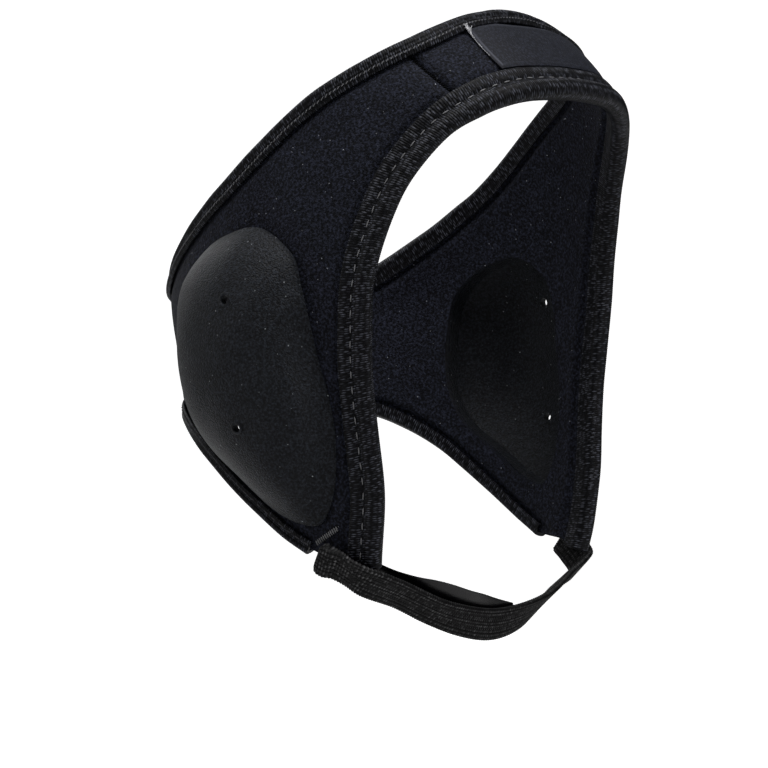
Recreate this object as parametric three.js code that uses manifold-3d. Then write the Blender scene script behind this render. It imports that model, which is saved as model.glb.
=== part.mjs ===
// Wrestling ear guard: a soft neoprene band over the forehead and round the nape, with a hard
// domed cup over each ear, ribbed tape round every edge and a webbing strap under the chin.
// Millimetres. +X is the wearer's left, -Y the face, +Z the crown of the head.
// The origin is the middle of the line through both ears.
// A turn is measured in degrees round +Z, from 0 at the face to 180 at the nape, and a height
// is measured from the ear line. A depth is measured outwards from the head's own surface.
import * as THREE from "three";
import { mergeVertices } from "three/addons/utils/BufferGeometryUtils.js";
import Module from "manifold-3d";

// Driving dimensions of the head that the guard is cut for
const headHalfWidth = 80;
const headHalfLength = 83;
const crownRise = 116;
const cheekDrop = 90;
const headSquareness = 2.2;

// Soft band
const panelWall = 5;
const pressedWall = 2.4;
const seamWall = 3.8;
const seamShoulder = 5;
const clearance = 0.3;
const tapeSlack = 0.7;

// Ribbed tape round the edges
const tapeWall = 1.2;
const faceTapeWidth = 12;
const faceTapeInside = 9;
const faceRollWidth = 6.5;
const faceRollRise = 1.1;
const browRollRise = 1.4;
const crownTapeWidth = 8;
const crownTapeInside = 7;
const crownRollRise = 0.5;
const neckTapeWidth = 5.5;
const neckTapeInside = 5;
const neckRollRise = 0.5;
const tapeShoulder = 2.4;
const faceGroove = 0.7;
const crownGroove = 0.5;
const grooveWidth = 1;
const narrowRollShare = 0.55;
const tapeCorner = 0.25;

// Ear cups
const cupRise = 19;
const cupEdgeRise = 1.6;
const cupWall = 3;
const cupSeat = 0.45;
const cupFullness = 2.1;
const cupShoulder = 0.85;
const earHoleShare = 0.84;
const ventDiameter = 3;

// Forehead label
const labelWall = 0.9;

// Chin strap and its inner tab
const strapWidth = 13;
const strapWall = 2;
const strapEndWall = 4;
const tabWall = 1.4;
const tabLap = 1;
const webbingCorner = 0.3;

// Head sections, lowest first. Height is a share of crownRise above the ear line and of cheekDrop
// below it; centre and halfLength are shares of headHalfLength, halfWidth of headHalfWidth.
const headSections = [
  { height: -1.22, centre: -0.07, halfWidth: 0.69, halfLength: 0.81 },
  { height: -0.98, centre: -0.06, halfWidth: 0.84, halfLength: 0.88 },
  { height: -0.67, centre: -0.05, halfWidth: 0.9, halfLength: 0.915 },
  { height: -0.34, centre: -0.025, halfWidth: 0.95, halfLength: 0.95 },
  { height: 0, centre: -0.02, halfWidth: 0.99, halfLength: 1.005 },
  { height: 0.13, centre: -0.02, halfWidth: 1, halfLength: 1.015 },
  { height: 0.345, centre: -0.06, halfWidth: 0.97, halfLength: 0.99 },
  { height: 0.52, centre: -0.085, halfWidth: 0.93, halfLength: 0.95 },
  { height: 0.655, centre: -0.12, halfWidth: 0.88, halfLength: 0.905 },
  { height: 0.725, centre: -0.145, halfWidth: 0.845, halfLength: 0.855 },
  { height: 0.8, centre: -0.18, halfWidth: 0.79, halfLength: 0.745 },
  { height: 0.895, centre: -0.215, halfWidth: 0.705, halfLength: 0.57 },
  { height: 0.955, centre: -0.24, halfWidth: 0.62, halfLength: 0.435 },
  { height: 1.01, centre: -0.265, halfWidth: 0.505, halfLength: 0.32 },
  { height: 1.055, centre: -0.29, halfWidth: 0.375, halfLength: 0.205 },
];

// The band, from the middle of the forehead to the middle of the nape. Each row is a cross line
// from the crown edge to the outer edge, with turns in degrees and heights as shares, as above.
const bandRows = [
  { crownTurn: 0, crownHeight: 1.005, outerTurn: 0, outerHeight: 0.722 },
  { crownTurn: 13, crownHeight: 1.003, outerTurn: 9, outerHeight: 0.72 },
  { crownTurn: 27, crownHeight: 0.994, outerTurn: 18.5, outerHeight: 0.713 },
  { crownTurn: 45, crownHeight: 0.966, outerTurn: 26.5, outerHeight: 0.695 },
  { crownTurn: 64, crownHeight: 0.884, outerTurn: 33.5, outerHeight: 0.664 },
  { crownTurn: 75, crownHeight: 0.819, outerTurn: 42, outerHeight: 0.601 },
  { crownTurn: 83, crownHeight: 0.762, outerTurn: 50, outerHeight: 0.473 },
  { crownTurn: 90, crownHeight: 0.7, outerTurn: 54.2, outerHeight: 0.358 },
  { crownTurn: 96, crownHeight: 0.634, outerTurn: 56.8, outerHeight: 0.216 },
  { crownTurn: 102, crownHeight: 0.562, outerTurn: 57.9, outerHeight: 0.052 },
  { crownTurn: 107, crownHeight: 0.504, outerTurn: 58.2, outerHeight: -0.167 },
  { crownTurn: 111, crownHeight: 0.461, outerTurn: 57.3, outerHeight: -0.444 },
  { crownTurn: 114.5, crownHeight: 0.429, outerTurn: 56.8, outerHeight: -0.711 },
  { crownTurn: 117.5, crownHeight: 0.4, outerTurn: 58.5, outerHeight: -0.983 },
  { crownTurn: 120.5, crownHeight: 0.369, outerTurn: 79.5, outerHeight: -0.95 },
  { crownTurn: 123.5, crownHeight: 0.339, outerTurn: 90.8, outerHeight: -0.861 },
  { crownTurn: 126.5, crownHeight: 0.31, outerTurn: 102, outerHeight: -0.75 },
  { crownTurn: 130, crownHeight: 0.276, outerTurn: 111, outerHeight: -0.65 },
  { crownTurn: 134, crownHeight: 0.237, outerTurn: 119, outerHeight: -0.556 },
  { crownTurn: 139, crownHeight: 0.194, outerTurn: 128.5, outerHeight: -0.467 },
  { crownTurn: 147, crownHeight: 0.153, outerTurn: 139, outerHeight: -0.4 },
  { crownTurn: 161, crownHeight: 0.125, outerTurn: 156, outerHeight: -0.35 },
  { crownTurn: 180, crownHeight: 0.116, outerTurn: 180, outerHeight: -0.333 },
];
const seamRow = 4;
const tipFrontRow = 13;
const tipBackRow = 14;
const napeRow = bandRows.length - 1;
const rowStep = 0.5;
const browFadeRows = 2;
const neckStartRows = 0.17;

// Outline of an ear cup where it meets the band, round its crest, in the same units
const cupCrest = { turn: 97, height: -0.16 };
const cupOutline = [
  { turn: 92, height: 0.31 },
  { turn: 103, height: 0.288 },
  { turn: 110.5, height: 0.237 },
  { turn: 116.5, height: 0.149 },
  { turn: 119, height: 0.017 },
  { turn: 119.5, height: -0.18 },
  { turn: 117.5, height: -0.36 },
  { turn: 112, height: -0.51 },
  { turn: 101.5, height: -0.635 },
  { turn: 91, height: -0.755 },
  { turn: 82, height: -0.81 },
  { turn: 75, height: -0.806 },
  { turn: 70.5, height: -0.667 },
  { turn: 68.7, height: -0.462 },
  { turn: 69.5, height: -0.298 },
  { turn: 72.3, height: -0.113 },
  { turn: 74.3, height: 0.039 },
  { turn: 76.2, height: 0.129 },
  { turn: 80.2, height: 0.228 },
];
const cupRings = [0.3, 0.55, 0.76, 0.91, 1];
const cupStepsPerPoint = 2;
const vents = [
  { turn: 91.8, height: 0.09 },
  { turn: 90, height: -0.39 },
];

// Corners of the label on the wearer's right, in the same units
const labelTop = { turn: 42, height: 0.945 };
const labelBottom = { turn: 27.5, height: 0.79 };

// Half of the strap's middle line: the first rows lie on the skin over the cheek tip, the rest hang
// free under the jaw. side, forward and height are shares of headHalfWidth, headHalfLength and
// cheekDrop, and lean is how far the face of the strap is tilted up from level, in degrees.
const strapSeat = [
  { turn: 75.8, height: -0.922, lean: 71 },
  { turn: 69.8, height: -0.962, lean: 60 },
];
const strapRoute = [
  { side: 0.845, forward: 0.462, height: -1.043, lean: 48 },
  { side: 0.62, forward: 0.505, height: -1.113, lean: 38 },
  { side: 0.42, forward: 0.54, height: -1.188, lean: 42 },
  { side: 0.21, forward: 0.563, height: -1.243, lean: 58 },
  { side: 0, forward: 0.562, height: -1.267, lean: 68 },
];
const strapEndShare = 0.04;

// Tab: share of the strap's way, rise of the tab's upper edge over the strap's, in millimetres, and
// how far the tab lies behind the strap
const tabRows = [
  { share: 0.03, rise: -4, behind: 10.5 },
  { share: 0.09, rise: -4, behind: 11 },
  { share: 0.14, rise: -4.5, behind: 11.6 },
  { share: 0.18, rise: -4.5, behind: 11.2 },
  { share: 0.22, rise: -3.6, behind: 8.4 },
  { share: 0.265, rise: 0.4, behind: 3.8 },
  { share: 0.31, rise: 4.2, behind: 1.2 },
  { share: 0.36, rise: 5.3, behind: 0.7 },
  { share: 0.41, rise: 5, behind: 0.7 },
  { share: 0.46, rise: 4.5, behind: 0.7 },
  { share: 0.51, rise: 2.7, behind: 0.7 },
  { share: 0.56, rise: -0.5, behind: 0.7 },
];

// Fineness of the mesh
const interiorLines = 3;
const faceStations = 52;
const crownStations = 56;
const neckStations = 44;
const strapStations = 36;
const tabStations = 22;
const labelColumns = 12;
const labelRows = 5;
const ventSides = 8;

const strapColour = new THREE.Color(0x1b1b1d);
const neopreneColour = new THREE.Color(0x1f2027);
const tapeColour = new THREE.Color(0x161617);
const cupColour = new THREE.Color(0x26282f);
const labelColour = new THREE.Color(0x101013);

const wasm = await Module();
wasm.setup();

const heightOf = (share) => share * (share > 0 ? crownRise : cheekDrop);

// Cubic through values at the given places, with the slope at each place taken across it
function hermite(places, values, slopes, place) {
  let k = 0;
  while (k < places.length - 2 && place > places[k + 1]) {
    k += 1;
  }
  const span = places[k + 1] - places[k];
  const f = (place - places[k]) / span;
  const start = (1 + 2 * f) * (1 - f) ** 2;
  const startSlope = f * (1 - f) ** 2;
  const end = f * f * (3 - 2 * f);
  const endSlope = f * f * (f - 1);
  return start * values[k] + end * values[k + 1]
    + span * (startSlope * slopes[k] + endSlope * slopes[k + 1]);
}

function slopesAcross(places, values) {
  return values.map((value, k) => {
    const before = Math.max(k - 1, 0);
    const after = Math.min(k + 1, values.length - 1);
    return (values[after] - values[before]) / (places[after] - places[before]);
  });
}

function smoothColumn(places, values) {
  const slopes = slopesAcross(places, values);
  return (place) => hermite(places, values, slopes, place);
}

const sectionHeights = headSections.map((row) => heightOf(row.height));
const sectionColumn = (column, size) =>
  smoothColumn(sectionHeights, headSections.map((row) => row[column] * size));
const sectionCentre = sectionColumn("centre", headHalfLength);
const sectionHalfWidth = sectionColumn("halfWidth", headHalfWidth);
const sectionHalfLength = sectionColumn("halfLength", headHalfLength);

// A point of the head's own surface
function headPoint(turn, height) {
  const angle = THREE.MathUtils.degToRad(turn);
  const across = Math.abs(Math.sin(angle)) / sectionHalfWidth(height);
  const along = Math.abs(Math.cos(angle)) / sectionHalfLength(height);
  const reach = (across ** headSquareness + along ** headSquareness) ** (-1 / headSquareness);
  const x = -reach * Math.sin(angle);
  const y = sectionCentre(height) - reach * Math.cos(angle);
  return new THREE.Vector3(x, y, height);
}

const turnProbe = 0.5;
const heightProbe = 0.5;

function turnSlope(turn, height) {
  const after = headPoint(turn + turnProbe, height);
  return after.sub(headPoint(turn - turnProbe, height)).divideScalar(2 * turnProbe);
}

function heightSlope(turn, height) {
  const above = headPoint(turn, height + heightProbe);
  return above.sub(headPoint(turn, height - heightProbe)).divideScalar(2 * heightProbe);
}

function outward(turn, height) {
  return heightSlope(turn, height).cross(turnSlope(turn, height)).normalize();
}

// A point at a depth outside the head's surface
function skinPoint(turn, height, depth) {
  return headPoint(turn, height).addScaledVector(outward(turn, height), depth);
}

// Edges of the band as functions of the row number, on past the middle of the forehead and nape
function rowColumn(column, corners) {
  const values = bandRows.map((row) => row[column]);
  const isTurn = column.endsWith("Turn");
  const mirrored = (k, middle) => (isTurn ? 2 * middle - values[k] : values[k]);
  const slopeAt = (k) => {
    const before = k === 0 ? mirrored(1, 0) : values[k - 1];
    const after = k === napeRow ? mirrored(napeRow - 1, 180) : values[k + 1];
    return (after - before) / 2;
  };
  return (row) => {
    const place = Math.abs(row);
    const k = Math.min(Math.floor(place), napeRow - 1);
    const chord = values[k + 1] - values[k];
    const slopes = [k, k + 1].map((end) => (corners.includes(end) ? chord : slopeAt(end)));
    const value = hermite([k, k + 1], [values[k], values[k + 1]], slopes, place);
    return isTurn && row < 0 ? -value : isTurn ? value : heightOf(value);
  };
}

const outerCorners = [tipFrontRow, tipBackRow];
const crownTurn = rowColumn("crownTurn", []);
const crownHeight = rowColumn("crownHeight", []);
const outerTurn = rowColumn("outerTurn", outerCorners);
const outerHeight = rowColumn("outerHeight", outerCorners);
const crownEdge = (row) => ({ turn: crownTurn(row), height: crownHeight(row) });
const outerEdge = (row) => ({ turn: outerTurn(row), height: outerHeight(row) });

function edgeTrack(edge, from, to, steps) {
  const track = [];
  for (let k = 0; k <= steps; k += 1) {
    const place = edge(from + ((to - from) * k) / steps);
    track.push(headPoint(place.turn, place.height));
  }
  return track;
}

const trackSteps = 240;
const shortTrackSteps = 48;
const searchPasses = 18;
const crownTrack = edgeTrack(crownEdge, -napeRow, napeRow, 2 * trackSteps);
const faceTrack = edgeTrack(outerEdge, -tipFrontRow, tipFrontRow, trackSteps);
const neckTracks = [
  edgeTrack(outerEdge, tipBackRow, napeRow, trackSteps),
  edgeTrack(outerEdge, -tipBackRow, -napeRow, trackSteps),
];
const tipTracks = [
  edgeTrack(outerEdge, tipFrontRow, tipBackRow, shortTrackSteps),
  edgeTrack(outerEdge, -tipFrontRow, -tipBackRow, shortTrackSteps),
];
const seamTracks = [1, -1].map((side) => {
  const track = [];
  for (let k = 0; k <= shortTrackSteps; k += 1) {
    const place = acrossBand(side * seamRow, k / shortTrackSteps);
    track.push(headPoint(place.turn, place.height));
  }
  return track;
});

function acrossBand(row, share) {
  const inner = crownEdge(row);
  const outer = outerEdge(row);
  return {
    turn: THREE.MathUtils.lerp(inner.turn, outer.turn, share),
    height: THREE.MathUtils.lerp(inner.height, outer.height, share),
  };
}

const nearest = new THREE.Vector3();
const stretch = new THREE.Line3();
function distanceTo(track, point) {
  let least = Infinity;
  for (let k = 0; k + 1 < track.length; k += 1) {
    stretch.set(track[k], track[k + 1]).closestPointToPoint(point, true, nearest);
    least = Math.min(least, nearest.distanceTo(point));
  }
  return least;
}

const toCrown = (point) => distanceTo(crownTrack, point);
const toFace = (point) => distanceTo(faceTrack, point);
const toNeck = (point) => Math.min(...neckTracks.map((track) => distanceTo(track, point)));
const toTip = (point) => Math.min(...tipTracks.map((track) => distanceTo(track, point)));
const toSeam = (point) => Math.min(...seamTracks.map((track) => distanceTo(track, point)));

// Where a cross line reaches a distance from an edge, walking in from that edge
function shareAt(row, distance, reach, fromCrown) {
  let near = 0;
  let far = 0.5;
  for (let pass = 0; pass < searchPasses; pass += 1) {
    const middle = (near + far) / 2;
    const place = acrossBand(row, fromCrown ? middle : 1 - middle);
    if (reach(headPoint(place.turn, place.height)) < distance) {
      near = middle;
    } else {
      far = middle;
    }
  }
  return fromCrown ? near : 1 - near;
}

// The tape sits over the pressed edge of the band, its face level with a depth above the head
const pressedUnder = tapeWall + tapeSlack;
const pressedOver = pressedUnder + pressedWall;
const tapeUnder = pressedOver + tapeSlack;
const tapeOver = tapeUnder + tapeWall;
const panelInset = tapeWall + tapeSlack + clearance;

const ease = (share) => {
  const f = THREE.MathUtils.clamp(share, 0, 1);
  return f * f * (3 - 2 * f);
};

const tapes = [
  { reach: toCrown, width: crownTapeWidth },
  { reach: toFace, width: faceTapeWidth },
  { reach: toNeck, width: neckTapeWidth },
];

function bandDepths(point) {
  const clearOf = (tape) => ease((tape.reach(point) - tape.width - clearance) / tapeShoulder);
  const free = Math.min(...tapes.map(clearOf));
  const seamFree = ease(toSeam(point) / seamShoulder);
  const tipFree = ease(toTip(point) / faceTapeWidth);
  return {
    over: Math.min(
      THREE.MathUtils.lerp(pressedOver, panelWall, Math.min(free, tipFree)),
      THREE.MathUtils.lerp(seamWall, panelWall, seamFree),
    ),
    under: THREE.MathUtils.lerp(pressedUnder, 0, free),
  };
}

// Mesh helpers: a list of corner points and a list of triangles
function solidMesh(points, triangles) {
  const geometry = new THREE.BufferGeometry();
  const numbers = points.flatMap((point) => [point.x, point.y, point.z]);
  geometry.setAttribute("position", new THREE.Float32BufferAttribute(numbers, 3));
  geometry.setIndex(triangles.flat());
  if (signedVolume(geometry) < 0) {
    geometry.setIndex(triangles.flatMap(([a, b, c]) => [a, c, b]));
  }
  return geometry;
}

function signedVolume(geometry) {
  const index = geometry.index.array;
  const corner = (k) => new THREE.Vector3().fromBufferAttribute(geometry.attributes.position, index[k]);
  let total = 0;
  for (let k = 0; k < index.length; k += 3) {
    total += corner(k).dot(corner(k + 1).cross(corner(k + 2)));
  }
  return total / 6;
}

// A sheet with two faces given as grids of points, closed round its border
function slabFromGrids(top, bottom) {
  const rows = top.length;
  const columns = top[0].length;
  const points = [...top.flat(), ...bottom.flat()];
  const topAt = (i, j) => i * columns + j;
  const bottomAt = (i, j) => rows * columns + topAt(i, j);
  const triangles = [];
  const quad = (a, b, c, d) => triangles.push([a, b, c], [a, c, d]);
  for (let i = 0; i + 1 < rows; i += 1) {
    for (let j = 0; j + 1 < columns; j += 1) {
      quad(topAt(i, j), topAt(i + 1, j), topAt(i + 1, j + 1), topAt(i, j + 1));
      quad(bottomAt(i, j), bottomAt(i, j + 1), bottomAt(i + 1, j + 1), bottomAt(i + 1, j));
    }
    quad(topAt(i, 0), bottomAt(i, 0), bottomAt(i + 1, 0), topAt(i + 1, 0));
    const end = columns - 1;
    quad(topAt(i + 1, end), bottomAt(i + 1, end), bottomAt(i, end), topAt(i, end));
  }
  for (let j = 0; j + 1 < columns; j += 1) {
    quad(topAt(0, j + 1), bottomAt(0, j + 1), bottomAt(0, j), topAt(0, j));
    quad(topAt(rows - 1, j), bottomAt(rows - 1, j), bottomAt(rows - 1, j + 1), topAt(rows - 1, j + 1));
  }
  return solidMesh(points, triangles);
}

// A closed section swept through its stations, each a ring of points; capped unless it closes
function sweepRings(rings, section, closed) {
  const around = rings[0].length;
  const points = rings.flat();
  const triangles = [];
  const joins = closed ? rings.length : rings.length - 1;
  for (let i = 0; i < joins; i += 1) {
    const next = (i + 1) % rings.length;
    for (let j = 0; j < around; j += 1) {
      const a = i * around + j;
      const b = i * around + ((j + 1) % around);
      const c = next * around + ((j + 1) % around);
      const d = next * around + j;
      triangles.push([a, b, c], [a, c, d]);
    }
  }
  if (!closed) {
    const outline = section.map(([across, depth]) => new THREE.Vector2(across, depth));
    const turning = Math.sign(THREE.ShapeUtils.area(outline));
    const last = (rings.length - 1) * around;
    for (const cap of THREE.ShapeUtils.triangulateShape(outline, [])) {
      const agrees = Math.sign(THREE.ShapeUtils.area(cap.map((k) => outline[k]))) === turning;
      const [a, b, c] = agrees ? cap : [...cap].reverse();
      triangles.push([a, c, b], [last + a, last + b, last + c]);
    }
  }
  return { points, triangles };
}

// One side of the soft band between two rows, as a padded sheet with pressed edges
function bandPanel(fromRow, toRow) {
  const steps = Math.round(Math.abs(toRow - fromRow) / rowStep);
  const top = [];
  const bottom = [];
  for (let i = 0; i <= steps; i += 1) {
    const row = fromRow + ((toRow - fromRow) * i) / steps;
    const shares = crossShares(row);
    top.push([]);
    bottom.push([]);
    for (const share of shares) {
      const place = acrossBand(row, share);
      const depths = bandDepths(headPoint(place.turn, place.height));
      top[i].push(skinPoint(place.turn, place.height, depths.over));
      bottom[i].push(skinPoint(place.turn, place.height, depths.under));
    }
  }
  return slabFromGrids(top, bottom);
}

function crossShares(row) {
  const place = Math.abs(row);
  const onTip = place >= tipFrontRow && place <= tipBackRow;
  const reach = place < tipFrontRow ? toFace : toNeck;
  const width = place < tipFrontRow ? faceTapeWidth : neckTapeWidth;
  const atTip = (point) => Math.min(toFace(point), toNeck(point), toTip(point) + panelInset);
  const crownSide = [panelInset, crownTapeWidth + clearance, crownTapeWidth + tapeShoulder + clearance]
    .map((distance) => shareAt(row, distance, toCrown, true));
  const outerSide = [panelInset, width + clearance, width + tapeShoulder + clearance]
    .map((distance) => shareAt(row, distance, onTip ? atTip : reach, false));
  outerSide.reverse();
  const shares = [...crownSide];
  for (let k = 1; k <= interiorLines; k += 1) {
    shares.push(THREE.MathUtils.lerp(crownSide[2], outerSide[0], k / (interiorLines + 1)));
  }
  return [...shares, ...outerSide];
}

// How many rows make half a gap between two panels that meet on a row
function halfGapRows(row) {
  const step = 0.1;
  const lengths = [0, 1].map((share) => {
    const here = acrossBand(row, share);
    const before = acrossBand(row - step, share);
    return headPoint(here.turn, here.height).distanceTo(headPoint(before.turn, before.height)) / step;
  });
  return clearance / 2 / Math.min(...lengths);
}

// Outline of a tape's rolled edge, from its foot on the band round the outside to the skin.
// across is a share of the roll's width and depth a share of the roll's full height.
const rollOutline = [
  { across: 0.68, depth: 1 },
  { across: 0.32, depth: 0.98 },
  { across: 0.09, depth: 0.84 },
  { across: 0, depth: 0.47 },
  { across: 0.05, depth: 0.08 },
];

// Section of a tape: distance in from the edge, then depth, round the tape once
function tapeSection(width, inside, rollWidth, rollRise, groove) {
  const section = [[width, tapeUnder], [width, tapeOver - tapeCorner]];
  if (groove > 0) {
    section.push([width - tapeCorner, tapeOver]);
    section.push([rollWidth + 1.5 * grooveWidth, tapeOver], [rollWidth + grooveWidth / 2, tapeOver - groove]);
  }
  section.push([rollWidth - grooveWidth / 2, tapeOver]);
  const rollDepth = tapeOver + rollRise;
  rollOutline.forEach((point) => section.push([rollWidth * point.across, rollDepth * point.depth]));
  const bandEdge = tapeWall + clearance;
  section.push([bandEdge, 0], [inside, 0], [inside, tapeWall], [bandEdge, tapeWall], [bandEdge, tapeUnder]);
  return section;
}

const walkStep = 3;

// The place reached by walking over the skin from a place, in a direction, in short straight steps
function walk(start, direction, distance) {
  const steps = Math.max(1, Math.ceil(distance / walkStep));
  const heading = direction.clone();
  let { turn, height } = start;
  for (let k = 0; k < steps; k += 1) {
    heading.projectOnPlane(outward(turn, height)).normalize();
    const perTurn = turnSlope(turn, height);
    const perHeight = heightSlope(turn, height);
    const turnTurn = perTurn.dot(perTurn);
    const turnRise = perTurn.dot(perHeight);
    const riseRise = perHeight.dot(perHeight);
    const spread = turnTurn * riseRise - turnRise ** 2;
    const inTurn = heading.dot(perTurn);
    const inRise = heading.dot(perHeight);
    turn += ((inTurn * riseRise - inRise * turnRise) / spread) * (distance / steps);
    height += ((inRise * turnTurn - inTurn * turnRise) / spread) * (distance / steps);
  }
  return { turn, height };
}

const rowProbe = 0.02;

// A tape swept along an edge of the band, its section standing square to the edge on the skin
function edgeTape(edge, rows, sectionAt, closed, inwardSign) {
  const first = Math.min(...rows);
  const final = Math.max(...rows);
  const rings = rows.map((row) => {
    const here = edge(row);
    const before = edge(Math.max(row - rowProbe, first));
    const after = edge(Math.min(row + rowProbe, final));
    const along = headPoint(after.turn, after.height).sub(headPoint(before.turn, before.height));
    const inward = outward(here.turn, here.height).cross(along).normalize().multiplyScalar(inwardSign);
    return sectionAt(row).map(([distance, depth]) => {
      const place = walk(here, inward, distance);
      return skinPoint(place.turn, place.height, depth);
    });
  });
  const swept = sweepRings(rings, sectionAt(rows[0]), closed);
  return solidMesh(swept.points, swept.triangles);
}

function rowsBetween(from, to, count) {
  return Array.from({ length: count + 1 }, (_, k) => from + ((to - from) * k) / count);
}

// Rows placed evenly along an edge, so that its stations are the same distance apart
function evenRows(edge, from, to, count) {
  const samples = rowsBetween(from, to, 400);
  const lengths = [0];
  for (let k = 1; k < samples.length; k += 1) {
    const a = edge(samples[k - 1]);
    const b = edge(samples[k]);
    lengths.push(lengths[k - 1] + headPoint(a.turn, a.height).distanceTo(headPoint(b.turn, b.height)));
  }
  const total = lengths.at(-1);
  return rowsBetween(0, total, count).map((length) => {
    const k = Math.max(1, lengths.findIndex((reached) => reached >= length - 1e-9));
    const f = (length - lengths[k - 1]) / (lengths[k] - lengths[k - 1]);
    return THREE.MathUtils.lerp(samples[k - 1], samples[k], f);
  });
}

// Ear cups
const cupTurns = cupOutline.map((point) => point.turn);
const cupHeights = cupOutline.map((point) => heightOf(point.height));

function loopColumn(values, place) {
  const count = values.length;
  const at = (k) => values[((k % count) + count) % count];
  const k = Math.floor(place);
  const slopes = [(at(k + 1) - at(k - 1)) / 2, (at(k + 2) - at(k)) / 2];
  return hermite([k, k + 1], [at(k), at(k + 1)], slopes, place);
}

function cupPlace(place, share) {
  return {
    turn: THREE.MathUtils.lerp(cupCrest.turn, loopColumn(cupTurns, place), share),
    height: THREE.MathUtils.lerp(heightOf(cupCrest.height), loopColumn(cupHeights, place), share),
  };
}

const cupUnder = panelWall + cupSeat;
const cupRiseAt = (share) =>
  cupEdgeRise + (cupRise - cupEdgeRise) * (1 - share ** cupFullness) ** cupShoulder;

function cupShell() {
  const around = cupOutline.length * cupStepsPerPoint;
  const points = [];
  const triangles = [];
  const crest = (depth) => skinPoint(cupCrest.turn, heightOf(cupCrest.height), depth);
  const addFace = (depthAt, flip) => {
    const first = points.length;
    points.push(crest(depthAt(0)));
    for (const share of cupRings) {
      for (let j = 0; j < around; j += 1) {
        const place = cupPlace(j / cupStepsPerPoint, share);
        points.push(skinPoint(place.turn, place.height, depthAt(share)));
      }
    }
    const ring = (i, j) => first + 1 + i * around + (j % around);
    for (let j = 0; j < around; j += 1) {
      triangles.push(flip ? [first, ring(0, j + 1), ring(0, j)] : [first, ring(0, j), ring(0, j + 1)]);
      for (let i = 0; i + 1 < cupRings.length; i += 1) {
        const [a, b, c, d] = [ring(i, j), ring(i + 1, j), ring(i + 1, j + 1), ring(i, j + 1)];
        triangles.push(...(flip ? [[a, c, b], [a, d, c]] : [[a, b, c], [a, c, d]]));
      }
    }
    return (j) => ring(cupRings.length - 1, j);
  };
  const overAt = (share) => cupUnder + cupRiseAt(share);
  const underAt = (share) => (share > earHoleShare ? cupUnder : Math.max(cupUnder, overAt(share) - cupWall));
  const outerRim = addFace(overAt, false);
  const innerRim = addFace(underAt, true);
  for (let j = 0; j < around; j += 1) {
    const [a, b, c, d] = [outerRim(j), innerRim(j), innerRim(j + 1), outerRim(j + 1)];
    triangles.push([a, b, c], [a, c, d]);
  }
  return solidMesh(points, triangles);
}

// A closed plug between two depths, whose outline is a ring of places on the head
function plug(places, centre, low, high) {
  const count = places.length;
  const points = [skinPoint(centre.turn, centre.height, low), skinPoint(centre.turn, centre.height, high)];
  places.forEach((place) => points.push(skinPoint(place.turn, place.height, low)));
  places.forEach((place) => points.push(skinPoint(place.turn, place.height, high)));
  const triangles = [];
  for (let j = 0; j < count; j += 1) {
    const a = 2 + j;
    const b = 2 + ((j + 1) % count);
    triangles.push([0, b, a], [1, a + count, b + count], [a, b, b + count], [a, b + count, a + count]);
  }
  return solidMesh(points, triangles);
}

const plugReach = 14;

function earHolePlug() {
  const around = cupOutline.length * cupStepsPerPoint;
  const places = Array.from({ length: around }, (_, j) => cupPlace(j / cupStepsPerPoint, earHoleShare));
  const centre = { turn: cupCrest.turn, height: heightOf(cupCrest.height) };
  return plug(places, centre, -plugReach, plugReach);
}

function ventPlug(vent) {
  const centre = { turn: vent.turn, height: heightOf(vent.height) };
  const degreesPerMm = 1 / turnSlope(centre.turn, centre.height).length();
  const places = Array.from({ length: ventSides }, (_, j) => {
    const angle = (2 * Math.PI * j) / ventSides;
    return {
      turn: centre.turn + (ventDiameter / 2) * Math.sin(angle) * degreesPerMm,
      height: centre.height + (ventDiameter / 2) * Math.cos(angle),
    };
  });
  return plug(places, centre, cupUnder, cupUnder + cupRise + plugReach);
}

// Booleans
function toSolid(geometry) {
  const bare = new THREE.BufferGeometry();
  bare.setAttribute("position", geometry.attributes.position);
  bare.setIndex(geometry.index);
  const merged = mergeVertices(bare, 1e-4);
  return new wasm.Manifold(new wasm.Mesh({
    numProp: 3,
    vertProperties: new Float32Array(merged.attributes.position.array),
    triVerts: new Uint32Array(merged.index.array),
  }));
}

function subtract(geometry, cutters) {
  let solid = toSolid(geometry);
  for (const cutter of cutters) {
    solid = solid.subtract(toSolid(cutter));
  }
  const mesh = solid.getMesh();
  const cut = new THREE.BufferGeometry();
  cut.setAttribute("position", new THREE.Float32BufferAttribute(mesh.vertProperties, 3));
  cut.setIndex(Array.from(mesh.triVerts));
  return cut;
}

// The same piece on the other side of the head
function mirrored(geometry) {
  const copy = geometry.clone();
  copy.scale(-1, 1, 1);
  const index = copy.index.array;
  for (let k = 0; k < index.length; k += 3) {
    [index[k + 1], index[k + 2]] = [index[k + 2], index[k + 1]];
  }
  return copy;
}

// Label on the forehead, lying on the band just below the crown tape
function labelPatch() {
  const seat = panelWall + clearance;
  const top = [];
  const bottom = [];
  for (let i = 0; i <= labelColumns; i += 1) {
    const side = THREE.MathUtils.lerp(-1, 1, i / labelColumns);
    const placeAt = (share) => ({
      turn: side * THREE.MathUtils.lerp(labelTop.turn, labelBottom.turn, share),
      height: heightOf(THREE.MathUtils.lerp(labelTop.height, labelBottom.height, share)),
    });
    const first = firstShareBeyond(placeAt, toCrown, crownTapeWidth + 2 * clearance);
    const last = 1 - firstShareBeyond((share) => placeAt(1 - share), toFace, faceTapeWidth + 2 * clearance);
    top.push([]);
    bottom.push([]);
    for (let j = 0; j <= labelRows; j += 1) {
      const place = placeAt(THREE.MathUtils.lerp(first, last, j / labelRows));
      bottom[i].push(skinPoint(place.turn, place.height, seat));
      top[i].push(skinPoint(place.turn, place.height, seat + labelWall));
    }
  }
  return slabFromGrids(top, bottom);
}

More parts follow.
